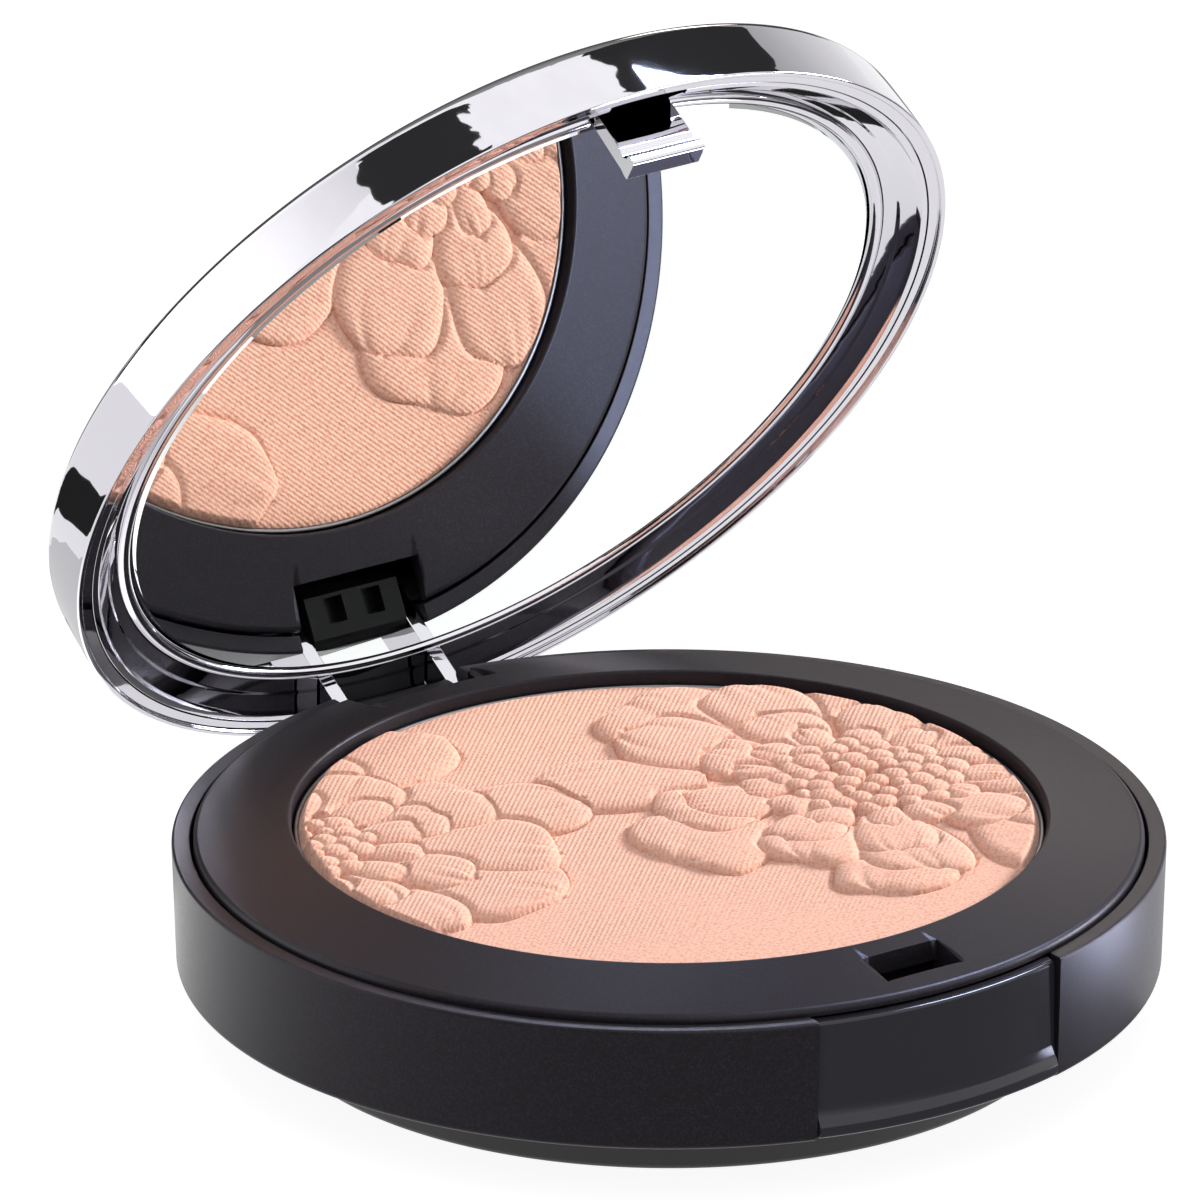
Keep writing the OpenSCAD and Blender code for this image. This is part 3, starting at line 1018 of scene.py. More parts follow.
@dataclass
class Base:
    """Wall, floor, foot, tray, hinge lugs and everything fixed inside them."""

    wall_draft: float = 0.35
    wall_t: float = 1.45
    floor_t: float = 1.3
    low_edge: float = 0.6
    top_edge: float = 0.25
    window_gap: float = 0.15
    cut_x: float = 5.95
    cut_y: float = 33.2
    sill_rise: float = 0.4
    slot_x: float = 3.5
    slot_front: float = 35.2
    slot_rear: float = 31.7
    cut_round: float = 0.12
    skirt_t: float = 1.15
    well_r: float = 29.55
    bezel_r: float = 29.7
    bezel_edge: float = 0.24
    shoulder_z: float = 15.43
    shoulder_r: float = 0.55
    flange_z: float = 14.75
    bay_x: float = 11.9
    lug_x: float = 8.55
    lug_r: float = 2.2
    bay_depth: float = 1.35
    bay_side: float = 0.6
    keeper_z0: float = 12.4
    keeper_t: float = 0.8
    foot_r: float = 31.45
    foot_top: float = 1.2
    overlap: float = 0.05

    def __post_init__(self) -> None:
        """Reads the places that the CAD frame fixes."""
        low, high = span_of("base_shell")
        self.r, self.wall_z0, self.ledge_z = high[0], low[2], high[2]
        high = span_of("tray_ring")[1]
        self.skirt_r, self.bezel_z = high[0], high[2]
        self.floor_z = self.wall_z0 + self.floor_t
        self.inner_r = self.r - self.wall_t
        self.window_x = span_of("push_button")[1][0] + self.window_gap
        self.sill_z = self.floor_z + self.sill_rise
        self.seam_z = self.flange_z + self.overlap

    def wall(self) -> Object:
        """The outer wall, open for the button at the front and for the hinge at the rear."""
        foot = self.r - self.wall_draft
        rise = (self.sill_z - self.wall_z0) / (self.ledge_z - self.wall_z0)
        rows, tags = rows_of(
            path(
                (foot, self.wall_z0, self.low_edge),
                (foot + (self.r - foot) * rise, self.sill_z, 0.0, "sill_out"),
                (self.r, self.ledge_z, self.top_edge),
                (self.inner_r, self.ledge_z, 0.1),
                (self.inner_r, self.sill_z, 0.0, "sill_in"),
                (self.inner_r, self.wall_z0),
            )
        )
        columns = Columns(front=(self.window_x,), rear=(self.cut_x,))
        shell = TurnedShell(rows, columns)
        front, rear = columns.index(self.window_x), columns.index(self.cut_x, True)
        shell.cut(0, 0, -front, front, floor=False)
        shell.cut(tags["sill_out"], tags["sill_in"], rear, -rear, floor=True)
        return shell.build("wall", self.cut_round)

    def floor(self) -> Object:
        """The floor, cut back behind the button so that it clears the pressed button."""
        r = self.inner_r + self.overlap
        around = np.linspace(-math.pi / 2, 1.5 * math.pi, 361)[:-1]
        x, y = r * np.cos(around), r * np.sin(around)
        back = -np.sqrt(np.maximum(r**2 - x**2, 0)) + self.bay_depth
        y = np.where((np.abs(x) < self.window_x + self.bay_side) & (y < 0), back, y)
        bm = bmesh.new()
        heights = (self.wall_z0 + 0.02, self.floor_z)
        bridge(bm, *([bm.verts.new((*spot, z)) for spot in zip(x, y)] for z in heights))
        return mesh_object("floor", bm)

    def lugs(self) -> list[Object]:
        """The two lugs that hold the pin's ends."""
        y, z = np.array(HINGE.place)[1:] / MM
        top = arc(y, z, self.lug_r, 0, math.pi, 25)
        top[:, 0] = np.minimum(top[:, 0], self.inner_r - 1.0)
        root = self.floor_z - 0.1
        outline = np.concatenate([top, [[y - self.lug_r, root], [self.inner_r - 1.4, root]]])
        return twins("lug", outline, self.cut_x, self.lug_x)

    def flange(self) -> Object:
        """The tray's sloping top with its slot and rear notch."""
        slope = (self.shoulder_z - self.bezel_z) / (self.skirt_r - self.bezel_r)
        marks = [
            ("slot_in", self.slot_rear, self.slot_x, False),
            ("notch", self.cut_y, self.cut_x, True),
            ("slot_out", self.slot_front, self.slot_x, False),
        ]
        radii = {tag: math.hypot(y, x) for tag, y, x, _ in marks}
        corners = path(
            (self.well_r, self.flange_z),
            (self.well_r, self.bezel_z - 1.0, 0.3),
            (self.bezel_r, self.bezel_z, self.bezel_edge),
            *((r, self.bezel_z + slope * (r - self.bezel_r), 0.0, tag) for tag, r in radii.items()),
            (self.skirt_r, self.shoulder_z, self.shoulder_r),
            (self.skirt_r, self.flange_z),
            *((radii[tag], self.flange_z, 0.0, f"{tag}_under") for tag in reversed(radii)),
        )
        rows, tags = rows_of(corners, steps=10)
        for tag, y, _, at_rear in marks:
            for suffix, lean in (("", slope), ("_under", 0.0)):
                row = rows[tags[tag + suffix]]
                rows[tags[tag + suffix]] = Row(row.r, row.z, cut_y=y, at_rear=at_rear, slope=lean)
        columns = Columns(front=(self.slot_x,), rear=(self.cut_x,), around=600)
        shell = TurnedShell(rows, columns)
        side, rear = columns.index(self.slot_x), columns.index(self.cut_x, True)
        top = (tags["slot_in"], tags["slot_out"])
        shell.hole(top, (tags["slot_out_under"], tags["slot_in_under"]), -side, side)
        shell.cut(tags["notch"], tags["notch_under"], rear, -rear, floor=True)
        return shell.build("flange", self.cut_round)

    def skirt(self) -> Object:
        """The tray's skirt, in two arcs between the button's bay and the lugs."""
        inner, foot = self.skirt_r - self.skirt_t, self.floor_z + 0.02
        rows, _ = rows_of(
            path((inner, foot), (self.skirt_r, foot), (self.skirt_r, self.seam_z), (inner, self.seam_z))
        )
        lug_side = self.lug_x + 0.5
        columns = Columns(front=(self.bay_x,), rear=(lug_side,))
        shell = TurnedShell(rows, columns)
        front, rear = columns.index(self.bay_x), columns.index(lug_side, True)
        shell.cut(0, 0, -front, front, floor=False)
        shell.cut(0, 0, rear, -rear, floor=False)
        return shell.build("skirt")

    def well(self) -> Object:
        """The cup under the pan."""
        outer = self.well_r + self.skirt_t
        floor = span_of("pan_adhesive")[0][2]
        corners = path(
            (0, floor - 1.0),
            (outer, floor - 1.0, 0.3),
            (outer, self.seam_z),
            (self.well_r, self.seam_z),
            (self.well_r, floor, 0.2),
            (0, floor),
        )
        return turned("well", corners)

    def slot_walls(self) -> list[Object]:
        """The keeper and side walls under the slot."""
        side, front, rear = self.slot_x, -self.slot_front, 0.5 - self.slot_rear
        outside = side + self.keeper_t
        plans = (
            (-outside, front - 0.7, outside, front),
            (-outside, front, -side, rear),
            (side, front, outside, rear),
        )
        return [
            soft_box("keeper", (x0, y0, self.keeper_z0), (x1, y1, self.seam_z), 0.08)
            for x0, y0, x1, y1 in plans
        ]

    def foot(self) -> Object:
        """The dished foot under the base."""
        low, high = span_of("bottom_plate")
        ground, rim, seat = low[2], high[0], self.wall_z0 + 0.02
        corners = path(
            (0, ground),
            (self.foot_r, ground, 0.8),
            (rim, seat),
            (rim - 1.2, seat),
            (self.foot_r - 1.6, self.foot_top, 0.5),
            (0, self.foot_top),
        )
        return turned("foot", corners)

    def build(self) -> None:
        """Makes and settles the base's pieces."""
        shell = joined("base_case", [self.wall(), self.floor(), *self.lugs()])
        settle(shell, Finish.PEARL, "base", "base_shell")
        tray = joined("tray", [self.flange(), self.well(), self.skirt(), *self.slot_walls()])
        settle(tray, Finish.PEARL, "base", "tray_ring")
        settle(self.foot(), Finish.FOOT, "base", "bottom_plate")


# ---------------------------------------------------------------- button


@dataclass
class Button:
    """The push button with its flared lip, arms, nose and springs."""

    panel_t: float = 1.0
    recess: float = 0.65
    flare_h: float = 2.6
    flare_step: float = 0.18
    flare_rise: float = 0.9
    lip_round: float = 0.45
    top_round: float = 0.3
    end_round: float = 0.16
    wire_r: float = 0.15
    coil_r: float = 1.05
    turns: float = 6.0
    arm_inset: float = 1.8
    arm_half: float = 0.8
    arm_front: float = -36.5
    arm_rear: float = -30.15
    hook_y: float = -31.05
    pad_half: float = 1.3
    work_round: float = 0.15

    def __post_init__(self) -> None:
        """Reads the places that the CAD frame fixes."""
        low, high = span_of("push_button")
        self.half, self.z0, self.z1 = high[0], low[2], high[2]
        low, high = span_of("base_shell")
        self.r = high[0]
        self.arm_z = low[2] + Base.floor_t + 0.25

    def panel(self) -> Object:
        """The curved panel with its flared lip along the lower edge."""
        outer = self.r - self.recess
        inner = outer - self.panel_t
        lip = self.r - 0.05
        flare = self.z0 + self.flare_h
        rows, _ = rows_of(
            path(
                (inner, self.z0),
                (lip, self.z0, self.lip_round),
                (lip - 0.1, self.z0 + 1.0, 0.6),
                (outer + self.flare_step, flare - self.flare_rise, 0.5),
                (outer, flare, 0.8),
                (outer, self.z1, self.top_round),
                (inner, self.z1),
            )
        )
        columns = Columns(front=(self.half,), around=720)
        shell = TurnedShell(rows, columns)
        side = columns.index(self.half)
        shell.cut(0, 0, side, -side, floor=False)
        return shell.build("panel", self.end_round)

    def works(self) -> list[Object]:
        """The arms with their hooks, the nose and the spring pads behind the panel."""
        arm, z = self.half - self.arm_inset, self.arm_z
        low, high = span_of("spring_right")
        pad_x, pad_z = (low[0] + high[0]) / 2, (low[2] + high[2]) / 2
        pad_y, reach = low[1], self.pad_half
        spans = (
            ((arm - self.arm_half, self.arm_front, z), (arm + self.arm_half, self.arm_rear, z + 2)),
            ((arm - self.arm_half, self.hook_y, z), (arm + 2 * self.arm_half, self.arm_rear, z + 2)),
            ((pad_x - reach, pad_y - 0.55, pad_z - reach), (pad_x + reach, pad_y, pad_z + reach)),
        )
        made = [soft_box("nose", (-2.6, -37.5, 11.2), (2.6, -36.6, 12.1), self.work_round)]
        for side in (-1, 1):
            for start, end in spans:
                x0, x1 = sorted((side * start[0], side * end[0]))
                made.append(soft_box("work", (x0, *start[1:]), (x1, *end[1:]), self.work_round))
        return made

    def spring(self, node: str) -> None:
        """Makes a coil spring at the length of its CAD node.

        Args:
            node: The CAD node that it replaces.
        """
        low, high = span_of(node)
        x, z = (low[0] + high[0]) / 2, (low[2] + high[2]) / 2
        length = (high[1] - low[1]) - 2 * self.wire_r
        steps, sides = int(self.turns * 32), 12
        bm = bmesh.new()
        rings = []
        for i in range(steps + 1):
            t = i / steps
            a = 2 * math.pi * self.turns * t
            ring = []
            for j in range(sides):
                b = 2 * math.pi * j / sides
                r = self.coil_r + self.wire_r * math.cos(b)
                y = low[1] + self.wire_r + length * t + self.wire_r * math.sin(b)
                ring.append(bm.verts.new((x + r * math.cos(a), y, z + r * math.sin(a))))
            rings.append(ring)
        for ring, after in zip(rings, rings[1:]):
            for j in range(sides):
                k = (j + 1) % sides
                bm.faces.new([ring[j], ring[k], after[k], after[j]])
        bm.faces.new(rings[0][::-1])
        bm.faces.new(rings[-1])
        piece = mesh_object(f"coil_{node}", bm)
        settle(piece, Finish.STEEL, "base", node)
        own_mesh(piece)

    def build(self) -> None:
        """Makes and settles the button's pieces."""
        button = joined("button", [self.panel(), *self.works()])
        settle(button, Finish.GLOSS, "button", "push_button")
        for node in ("spring_left", "spring_right"):
            self.spring(node)


# ---------------------------------------------------------------- powder


@dataclass(frozen=True)
class Petal:
    """One puffy petal of a flower, in mm from the flower's middle.

    Its edge is rounded like a cushion's, its tip is lobed, and creases run in from it.
    """

    angle: float
    start: float
    end: float
    width: float
    level: float
    thick: float
    bend: float
    lobes: float
    phase: float
    creases: tuple[float, ...]
    belly: float = 0.6
    edge: float = 1.5
    groove: float = 0.2

    def press(self, dx: np.ndarray, dy: np.ndarray, height: np.ndarray) -> np.ndarray:
        """Lays the petal over a height map.

        Args:
            dx: Points across from the flower's middle.
            dy: Points front to back from the flower's middle.
            height: Heights so far.

        Returns:
            The new heights.
        """
        c, s = math.cos(self.angle), math.sin(self.angle)
        length = self.end - self.start
        along = (dx * c + dy * s - self.start) / length
        aside = -dx * s + dy * c - self.bend * self.width * np.sin(np.clip(along, 0, 1) * math.pi)
        loose = aside / self.width
        lobe = 1 + 0.03 * np.cos(math.pi * self.lobes * loose + self.phase)
        along = along / lobe
        beyond = np.clip((along - self.belly) / (1 - self.belly), 0, 1)
        before = np.clip(along / self.belly, 0, 1)
        half = self.width * (1 - beyond**2.6) ** 0.45 * (0.5 + 0.5 * np.sin(before * math.pi / 2))
        inside = (np.abs(aside) < half) & (along > 0) & (along < 1)
        v = aside / np.maximum(half, 1e-3)
        room = np.minimum(half - np.abs(aside), (1 - along) * length * 0.9)
        near = np.clip(room / min(self.edge, 0.8 * self.width), 0, 1)
        cushion = np.sqrt(1 - (1 - near) ** 2)
        ramp = np.clip((along - 0.45) / 0.5, 0, 1)
        folds = 0.05 * np.cos(v * 2.2 * math.pi + self.phase) * ramp
        for crease in self.creases:
            folds = folds - 0.1 * np.exp(-((v - crease) ** 2) / 0.01) * ramp
        puff = self.thick * cushion * (0.72 + 0.28 * before) * (1 - 0.18 * v**2)
        outside = np.hypot(np.clip(np.abs(aside) - half, 0, None), np.clip(along - 1, 0, None) * length)
        valley = self.groove * np.exp(-(outside**2) / 0.1) * (along > 0)
        return np.where(inside, self.level + puff + folds * cushion, height - valley)


@dataclass(frozen=True)
class Blossom:
    """A many-petalled flower pressed into the powder, in mm.

    Petals stand in rings round a heart of small florets, each ring over the one outside
    it, and small random shares keep them from looking stamped.
    """

    x: float
    y: float
    turn: float
    seed: int
    reach: float
    heart: float

    def petals(self) -> list[Petal]:
        """The petals, the outer and lower ones first."""
        rng = np.random.default_rng(self.seed)
        rings = (
            (8, 0.5, 1.0, 0.23, 0.0, 0.66),
            (8, 0.4, 0.8, 0.19, 0.06, 0.66),
            (9, 0.3, 0.6, 0.14, 0.12, 0.6),
            (13, 0.24, 0.44, 0.075, 0.18, 0.48),
        )
        made = []
        for ring, (count, start, end, width, level, thick) in enumerate(rings):
            for k in range(count):
                share = (k + 0.5 * (ring % 2) + rng.uniform(-0.18, 0.18)) / count
                petal = Petal(
                    angle=self.turn + 2 * math.pi * share,
                    start=start * self.reach,
                    end=end * self.reach * rng.uniform(0.86, 1.08),
                    width=width * self.reach * rng.uniform(0.85, 1.15),
                    level=level,
                    thick=thick * rng.uniform(0.85, 1.1),
                    bend=rng.uniform(-0.22, 0.22),
                    lobes=rng.uniform(0.9, 1.9),
                    phase=rng.uniform(0.0, 6.28),
                    creases=tuple(rng.uniform(-0.6, 0.6, size=2)),
                )
                made.append(petal)
        return made

    def florets(self) -> list[tuple[float, float, float, float]]:
        """Each floret's place, radius and share of the height, from the outside in."""
        rng = np.random.default_rng(self.seed + 1)
        count = 48
        made = []
        for k in range(count, 0, -1):
            share = k / count
            r = self.heart * math.sqrt(share)
            a = k * math.pi * (3 - math.sqrt(5))
            size = self.heart * (0.125 + 0.055 * share) * rng.uniform(0.75, 1.3)
            made.append((self.x + r * math.cos(a), self.y + r * math.sin(a), size, 1 - share))
        return made

    def press(self, x: np.ndarray, y: np.ndarray, height: np.ndarray) -> np.ndarray:
        """Adds the flower to a height map.

        Args:
            x: Points across.
            y: Points front to back.
            height: Height of the powder at those points so far.

        Returns:
            The new heights.
        """
        dx, dy = x - self.x, y - self.y
        for petal in self.petals():
            height = petal.press(dx, dy, height)
        for fx, fy, size, inward in self.florets():
            far = np.hypot(x - fx, y - fy) / size
            bead = 0.3 + 0.14 * inward + 0.42 * np.sqrt(np.clip(1 - far**2, 0, 1))
            moat = 0.1 * np.exp(-((far - 1) ** 2) / 0.03) * (far < 1.5)
            height = np.where(far < 1, bead, height - moat)
        return height


@dataclass
class Powder:
    """The pan and the cake of powder with its pressed flowers."""

    rings: int = 250
    around: int = 1100
    ground: float = 0.2
    highest: float = 0.98
    edge: float = 0.5
    sheet: float = 0.35
    flowers: tuple[Blossom, ...] = (
        Blossom(18.0, -1.0, 0.2, 11, 25.0, 7.0),
        Blossom(-28.0, 12.5, 0.5, 23, 26.0, 6.6),
    )

    def relief(self, x: np.ndarray, y: np.ndarray) -> np.ndarray:
        """Works out the pressed flowers.

        Args:
            x: Points across, in mm.
            y: Points front to back, in mm.

        Returns:
            How far they stand above the plain cake, in mm.
        """
        height = np.zeros_like(x)
        for flower in self.flowers:
            height = flower.press(x, y, height)
        return np.clip(height, -0.25, self.highest)

    def cake(self) -> Object:
        """The cake, as a fine disc of rings over a plain cup."""
        low, high = span_of("pressed_powder")
        r_out, z0 = high[0], low[2]
        top = high[2] - self.ground
        radii = r_out * np.sqrt(np.linspace(0.0, 1.0, self.rings + 1)[1:])
        radii = 0.5 * radii + 0.5 * np.linspace(r_out / self.rings, r_out, self.rings)
        angles = np.linspace(0, 2 * math.pi, self.around, endpoint=False)
        r, a = np.meshgrid(radii, angles, indexing="ij")
        x, y = r * np.cos(a), r * np.sin(a)
        fade = np.clip((r_out - r) / self.edge, 0, 1)
        z = top + self.relief(x, y) * fade - 0.25 * (1 - fade) ** 2
        count = self.rings * self.around
        surface = np.stack([x, y, z], axis=-1).reshape(-1, 3)
        rim = np.stack([r_out * np.cos(angles), r_out * np.sin(angles), np.full(self.around, z0)], axis=1)
        middle = np.array([[0.0, 0.0, float(z[0].mean())], [0.0, 0.0, z0]])
        verts = np.concatenate([surface, rim, middle]) * MM
        j = np.arange(self.around)
        k = (j + 1) % self.around
        below = self.around
        faces = [
            np.stack([row + j, row + below + j, row + below + k, row + k], 1)
            for row in np.arange(self.rings) * self.around
        ]
        tris = [
            np.stack([np.full_like(j, count + self.around), j, k], 1),
            np.stack([np.full_like(j, count + self.around + 1), count + k, count + j], 1),
        ]
        mesh = bpy.data.meshes.new("pressed_cake")
        mesh.from_pydata(verts.tolist(), [], np.concatenate(faces).tolist() + np.concatenate(tris).tolist())
        mesh.shade_smooth()
        mesh.set_sharp_from_angle(angle=math.radians(80))
        return linked("pressed_cake", mesh)

    def pan(self) -> Object:
        """The deep-drawn pan with its rolled rim."""
        low, high = span_of("powder_pan")
        r, z0, z1 = high[0], low[2], high[2]
        inside = r - self.sheet
        corners = path((0, z0), (r, z0, 0.5), (r, z1, 0.15), (inside, z1, 0.15))
        return turned("pan", corners + path((inside, z0 + self.sheet), (0, z0 + self.sheet)))

    def build(self) -> None:
        """Makes and settles the powder and its pan."""
        settle(self.pan(), Finish.ALUMINIUM, "base", "powder_pan")
        settle(self.cake(), Finish.POWDER, "base", "pressed_powder")


# ---------------------------------------------------------------- lid


@dataclass
class Lid:
    """The plated lid with its ears and catch, and the framed mirror inside it."""

    draft: float = 0.35
    crown: float = 0.07
    top_round: float = 1.2
    dome: float = 0.7
    wall: float = 1.4
    lip_w: float = 0.5
    lip_step: float = 0.3
    notch_x: float = 5.95
    notch_h: float = 1.8
    ear_x0: float = 4.55
    ear_x1: float = 5.8
    ear_r: float = 2.2
    catch_half: float = 3.35
    catch_y: float = -34.9
    catch_t: float = 1.3
    barb: float = 0.6
    barb_h: float = 0.95
    bead_r: float = 0.58
    frame_gap: float = 0.1
    bevel: float = 0.35
    hub_r: float = 0.4
    root: float = 0.3
    silver_t: float = 0.045
    around: int = 720

    def __post_init__(self) -> None:
        """Reads the places that the CAD frame fixes, with the lid closed."""
        shell = HINGE.closed_points("lid_shell")
        far = np.hypot(shell[:, 0], shell[:, 1])
        self.r = float(far.max())
        front = shell[:, 1] < 0
        self.rim_z = float(shell[front & (far > self.r - 0.3)][:, 2].min())
        self.top_z = float(shell[:, 2].max())
        self.tip_z = float(shell[front][:, 2].min())
        glass = HINGE.closed_points("mirror_glass")
        self.glass_r = float(np.hypot(glass[:, 0], glass[:, 1]).max())
        self.glass_z0, self.glass_z1 = float(glass[:, 2].min()), float(glass[:, 2].max())
        self.web_z = float(HINGE.closed_points("mirror_tape")[:, 2].max())
        self.inner_r = self.r - self.wall

    def shell(self) -> Object:
        """The band and the dome with the notch at the hinge."""
        edge_r = self.r - self.draft
        edge_z = self.top_z - self.dome
        notch_z = self.rim_z + self.notch_h
        band = edge_z - self.rim_z

        def on_band(z: float, tag: str = "") -> Corner:
            """Places a point of the band, which bulges a little between its edges.

            Args:
                z: Its height.
                tag: Its tag, if it has one.

            Returns:
                The point as a corner.
            """
            share = (z - self.rim_z) / band
            bulge = self.crown * 4 * share * (1 - share)
            return Corner(self.r - self.draft * share + bulge, z, tag=tag)

        flat_r = edge_r - self.top_round
        dome_r = (flat_r**2 + self.dome**2) / (2 * self.dome)
        rings = np.linspace(flat_r * 0.97, self.hub_r, 40)
        heights = self.top_z - dome_r + np.sqrt(dome_r**2 - rings**2)
        corners = [
            Corner(self.r, self.rim_z, 0.15),
            on_band(self.rim_z + 0.6),
            on_band(self.rim_z + 1.2),
            on_band(notch_z, "notch_out"),
        ]
        corners += [on_band(float(z)) for z in np.linspace(notch_z, edge_z - 1.35, 6)[1:]]
        corners.append(Corner(edge_r, edge_z, self.top_round))
        corners += [Corner(float(r), float(z)) for r, z in zip(rings, heights)]
        lip, lip_z = self.r - self.lip_w, self.rim_z + self.lip_step
        corners += path(
            (self.hub_r, self.web_z),
            (self.inner_r, self.web_z),
            (self.inner_r, notch_z, 0.0, "notch_in"),
            (self.inner_r, lip_z),
            (lip, lip_z, 0.08),
            (lip, self.rim_z, 0.12),
        )
        rows, tags = rows_of(corners, steps=14)
        columns = Columns(rear=(self.notch_x,), around=self.around)
        shell = TurnedShell(rows, columns)
        rear = columns.index(self.notch_x, True)
        shell.cut(tags["notch_in"], tags["notch_out"], rear, -rear, floor=True)
        return shell.build("shell", 0.1)

    def disc(self, name: str, r: float, z0: float, z1: float, around: int = 720) -> Object:
        """A plain disc.

        Args:
            name: Name of the piece.
            r: Its radius.
            z0: Its lower side.
            z1: Its upper side.
            around: Columns in a full turn.

        Returns:
            The new object.
        """
        return turned(name, path((0, z0), (r, z0), (r, z1), (0, z1)), around=around)

    def ears(self) -> list[Object]:
        """The two hinge ears."""
        y, z = np.array(HINGE.place)[1:] / MM
        foot = arc(y, z, self.ear_r, -math.pi, 0, 33)
        root = self.web_z + self.root
        outline = np.concatenate([foot, [[y + self.ear_r, root], [y - self.ear_r, root]]])
        return twins("ear", outline, self.ear_x0, self.ear_x1)

    def catch(self) -> Object:
        """The tongue with its groove and rounded barb."""
        y, z, root = self.catch_y, self.tip_z, self.web_z + self.root
        back = y + self.catch_t
        corners = path(
            (y, root),
            (y, z + 2.0, 0.35),
            (y + 0.28, z + 1.45, 0.4),
            (y + 0.05, z + self.barb_h, 0.12),
            (y - self.barb, z + self.barb_h - 0.1, 0.3),
            (y - self.barb + 0.05, z, 0.35),
            (back + 0.15, z, 0.15),
            (back + 0.15, z + 0.5, 0.15),
            (back, z + 0.9, 0.2),
            (back, root),
        )
        outline, _ = rounded(corners, steps=10)
        return prism("catch", outline, -self.catch_half, self.catch_half, 0.12)

    def mirror_frame(self) -> Object:
        """The plated ring with its bead and cove round the mirror."""
        inner = self.glass_r + self.frame_gap
        outer = self.inner_r - self.frame_gap
        bead = inner + self.bead_r
        bead_z = self.glass_z0 - 0.25 + self.bead_r
        start, end = inner + 2 * self.bead_r + 0.02, outer - 0.75
        high, low = self.glass_z0 + 0.05, self.rim_z + self.lip_step + 0.1
        corners = path(
            (inner, self.web_z),
            *arc(bead, bead_z, self.bead_r, math.pi, 2 * math.pi, 13),
            (start, high, 0.0, "gap_in"),
        )
        for share in np.linspace(0.06, 1, 22):
            step = 0.05 if share > 0.42 else 0.0
            z = high - 1.25 * (0.8 * share + 0.2 * share**2) - step
            corners.append(Corner(start + (end - start) * share, z))
        corners += path(
            (end + 0.2, low, 0.06),
            (outer, low - 0.05, 0.05),
            (outer, self.web_z, 0.0, "gap_out"),
        )
        rows, tags = rows_of(corners, steps=14)
        gap, ear_side = self.catch_half + 0.2, self.ear_x0 - 0.15
        columns = Columns(front=(gap,), rear=(ear_side, self.notch_x), around=self.around)
        shell = TurnedShell(rows, columns)
        side = columns.index(gap)
        shell.cut(0, 0, -side, side, floor=False)
        near, far = columns.index(self.notch_x, True), columns.index(ear_side, True)
        for first, last in ((near, far), (-far, -near)):
            shell.cut(tags["gap_in"] + 1, tags["gap_out"], first, last, floor=True, bevel=False)
        return shell.build("mirror_ring", 0.12)

    def glass(self) -> Object:
        """The mirror's glass with its ground bevel."""
        r, z0, z1, b = self.glass_r, self.glass_z0, self.glass_z1, self.bevel
        corners = path((0, z0), (r - b, z0), (r, z0 + b), (r, z1), (0, z1))
        return turned("mirror_pane", corners, around=self.around)

    def silver(self) -> Object:
        """The silver layer behind the glass."""
        z0 = self.glass_z1 + 0.005
        return self.disc("mirror_back", self.glass_r - 0.1, z0, z0 + self.silver_t)

    def case(self) -> Object:
        """The shell with its ears and catch, and a plug for the small hole on its axis."""
        plug = self.disc("plug", self.hub_r, self.web_z, self.top_z, around=64)
        return joined("lid_case", [self.shell(), plug, self.catch(), *self.ears()])

    def build(self) -> None:
        """Makes the lid's pieces closed, turns them open and settles them."""
        made = [
            (self.case(), Finish.CHROME, "chrome_plate", "lid_shell"),
            (self.mirror_frame(), Finish.CHROME, "chrome_plate", "mirror_frame"),
            (self.glass(), Finish.GLASS, "mirror_glass", "mirror_glass"),
            (self.silver(), Finish.SILVER, "silvering", "mirror_silver"),
        ]
        for obj, finish, slot, node in made:
            obj.data.transform(HINGE.opened())
            settle(obj, finish, "lid", node)


def dress_cad_nodes() -> None:
    """Gives the CAD nodes that stay their finish and softer edges."""
    kept = {
        "hinge_block": (Finish.BLOCK, 0.12),
        "hinge_pin": (Finish.STEEL, 0.0),
        "pan_adhesive": (Finish.GLUE, 0.0),
        "mirror_tape": (Finish.FOAM, 0.0),
    }
    for node, (finish, bevel) in kept.items():
        obj = frame["nodes"][node]
        WARDROBE.dress(obj, finish)
        if bevel:
            edges = obj.modifiers.new("moulded edge", "BEVEL")
            edges.width, edges.segments, edges.limit_method = bevel * MM, 3, "ANGLE"
            edges.angle_limit = math.radians(40)
        LOG.info("%s keeps its CAD shape", node)


# ---------------------------------------------------------------- studio


@dataclass(frozen=True)
class SkyPatch:
    """A part of the sky between two edges, in degrees round the set and above the floor.

    Each azimuth edge has its value at the lowest and at the highest elevation, and 0 is
    the front, 90 the right. The glow too goes from the lowest to the highest elevation.
    """

    name: str
    az_low: tuple[float, float]
    az_high: tuple[float, float]
    elevation: tuple[float, float]
    glow: tuple[float, float]
    distance: float
    wave: float
    seed: int


SKY = (
    SkyPatch("sky_bright", (-180, -180), (180, 180), (0, 90), (1.35, 1.35), 2.6, 0.0, 1),
    SkyPatch("sky_window", (-180, -180), (-104, -104), (0, 60), (2.4, 1.05), 1.4, 0.0, 6),
    SkyPatch("sky_dark_rear", (127, 124), (205, 178), (0, 74), (0.0, 0.45), 1.3, 1.2, 2),
    SkyPatch("sky_dark_right", (74, 74), (129, 126), (29, 66), (0.035, 0.035), 1.28, 1.0, 5),
    SkyPatch("sky_grey_right", (74, 74), (129, 126), (0, 31), (1.05, 0.5), 1.35, 0.0, 7),
    SkyPatch("sky_dark_stripe", (-140, -150), (-60, -40), (60, 82), (0.035, 0.035), 1.3, 1.0, 3),
    SkyPatch("sky_dark_front", (-105, -98), (-28, -34), (0, 46), (0.02, 0.02), 1.3, 1.5, 4),
)


class Serves(Enum):
    """What a lamp is for: lighting dull surfaces, or showing in glossy ones."""

    DULL = "dull"
    GLOSSY = "glossy"


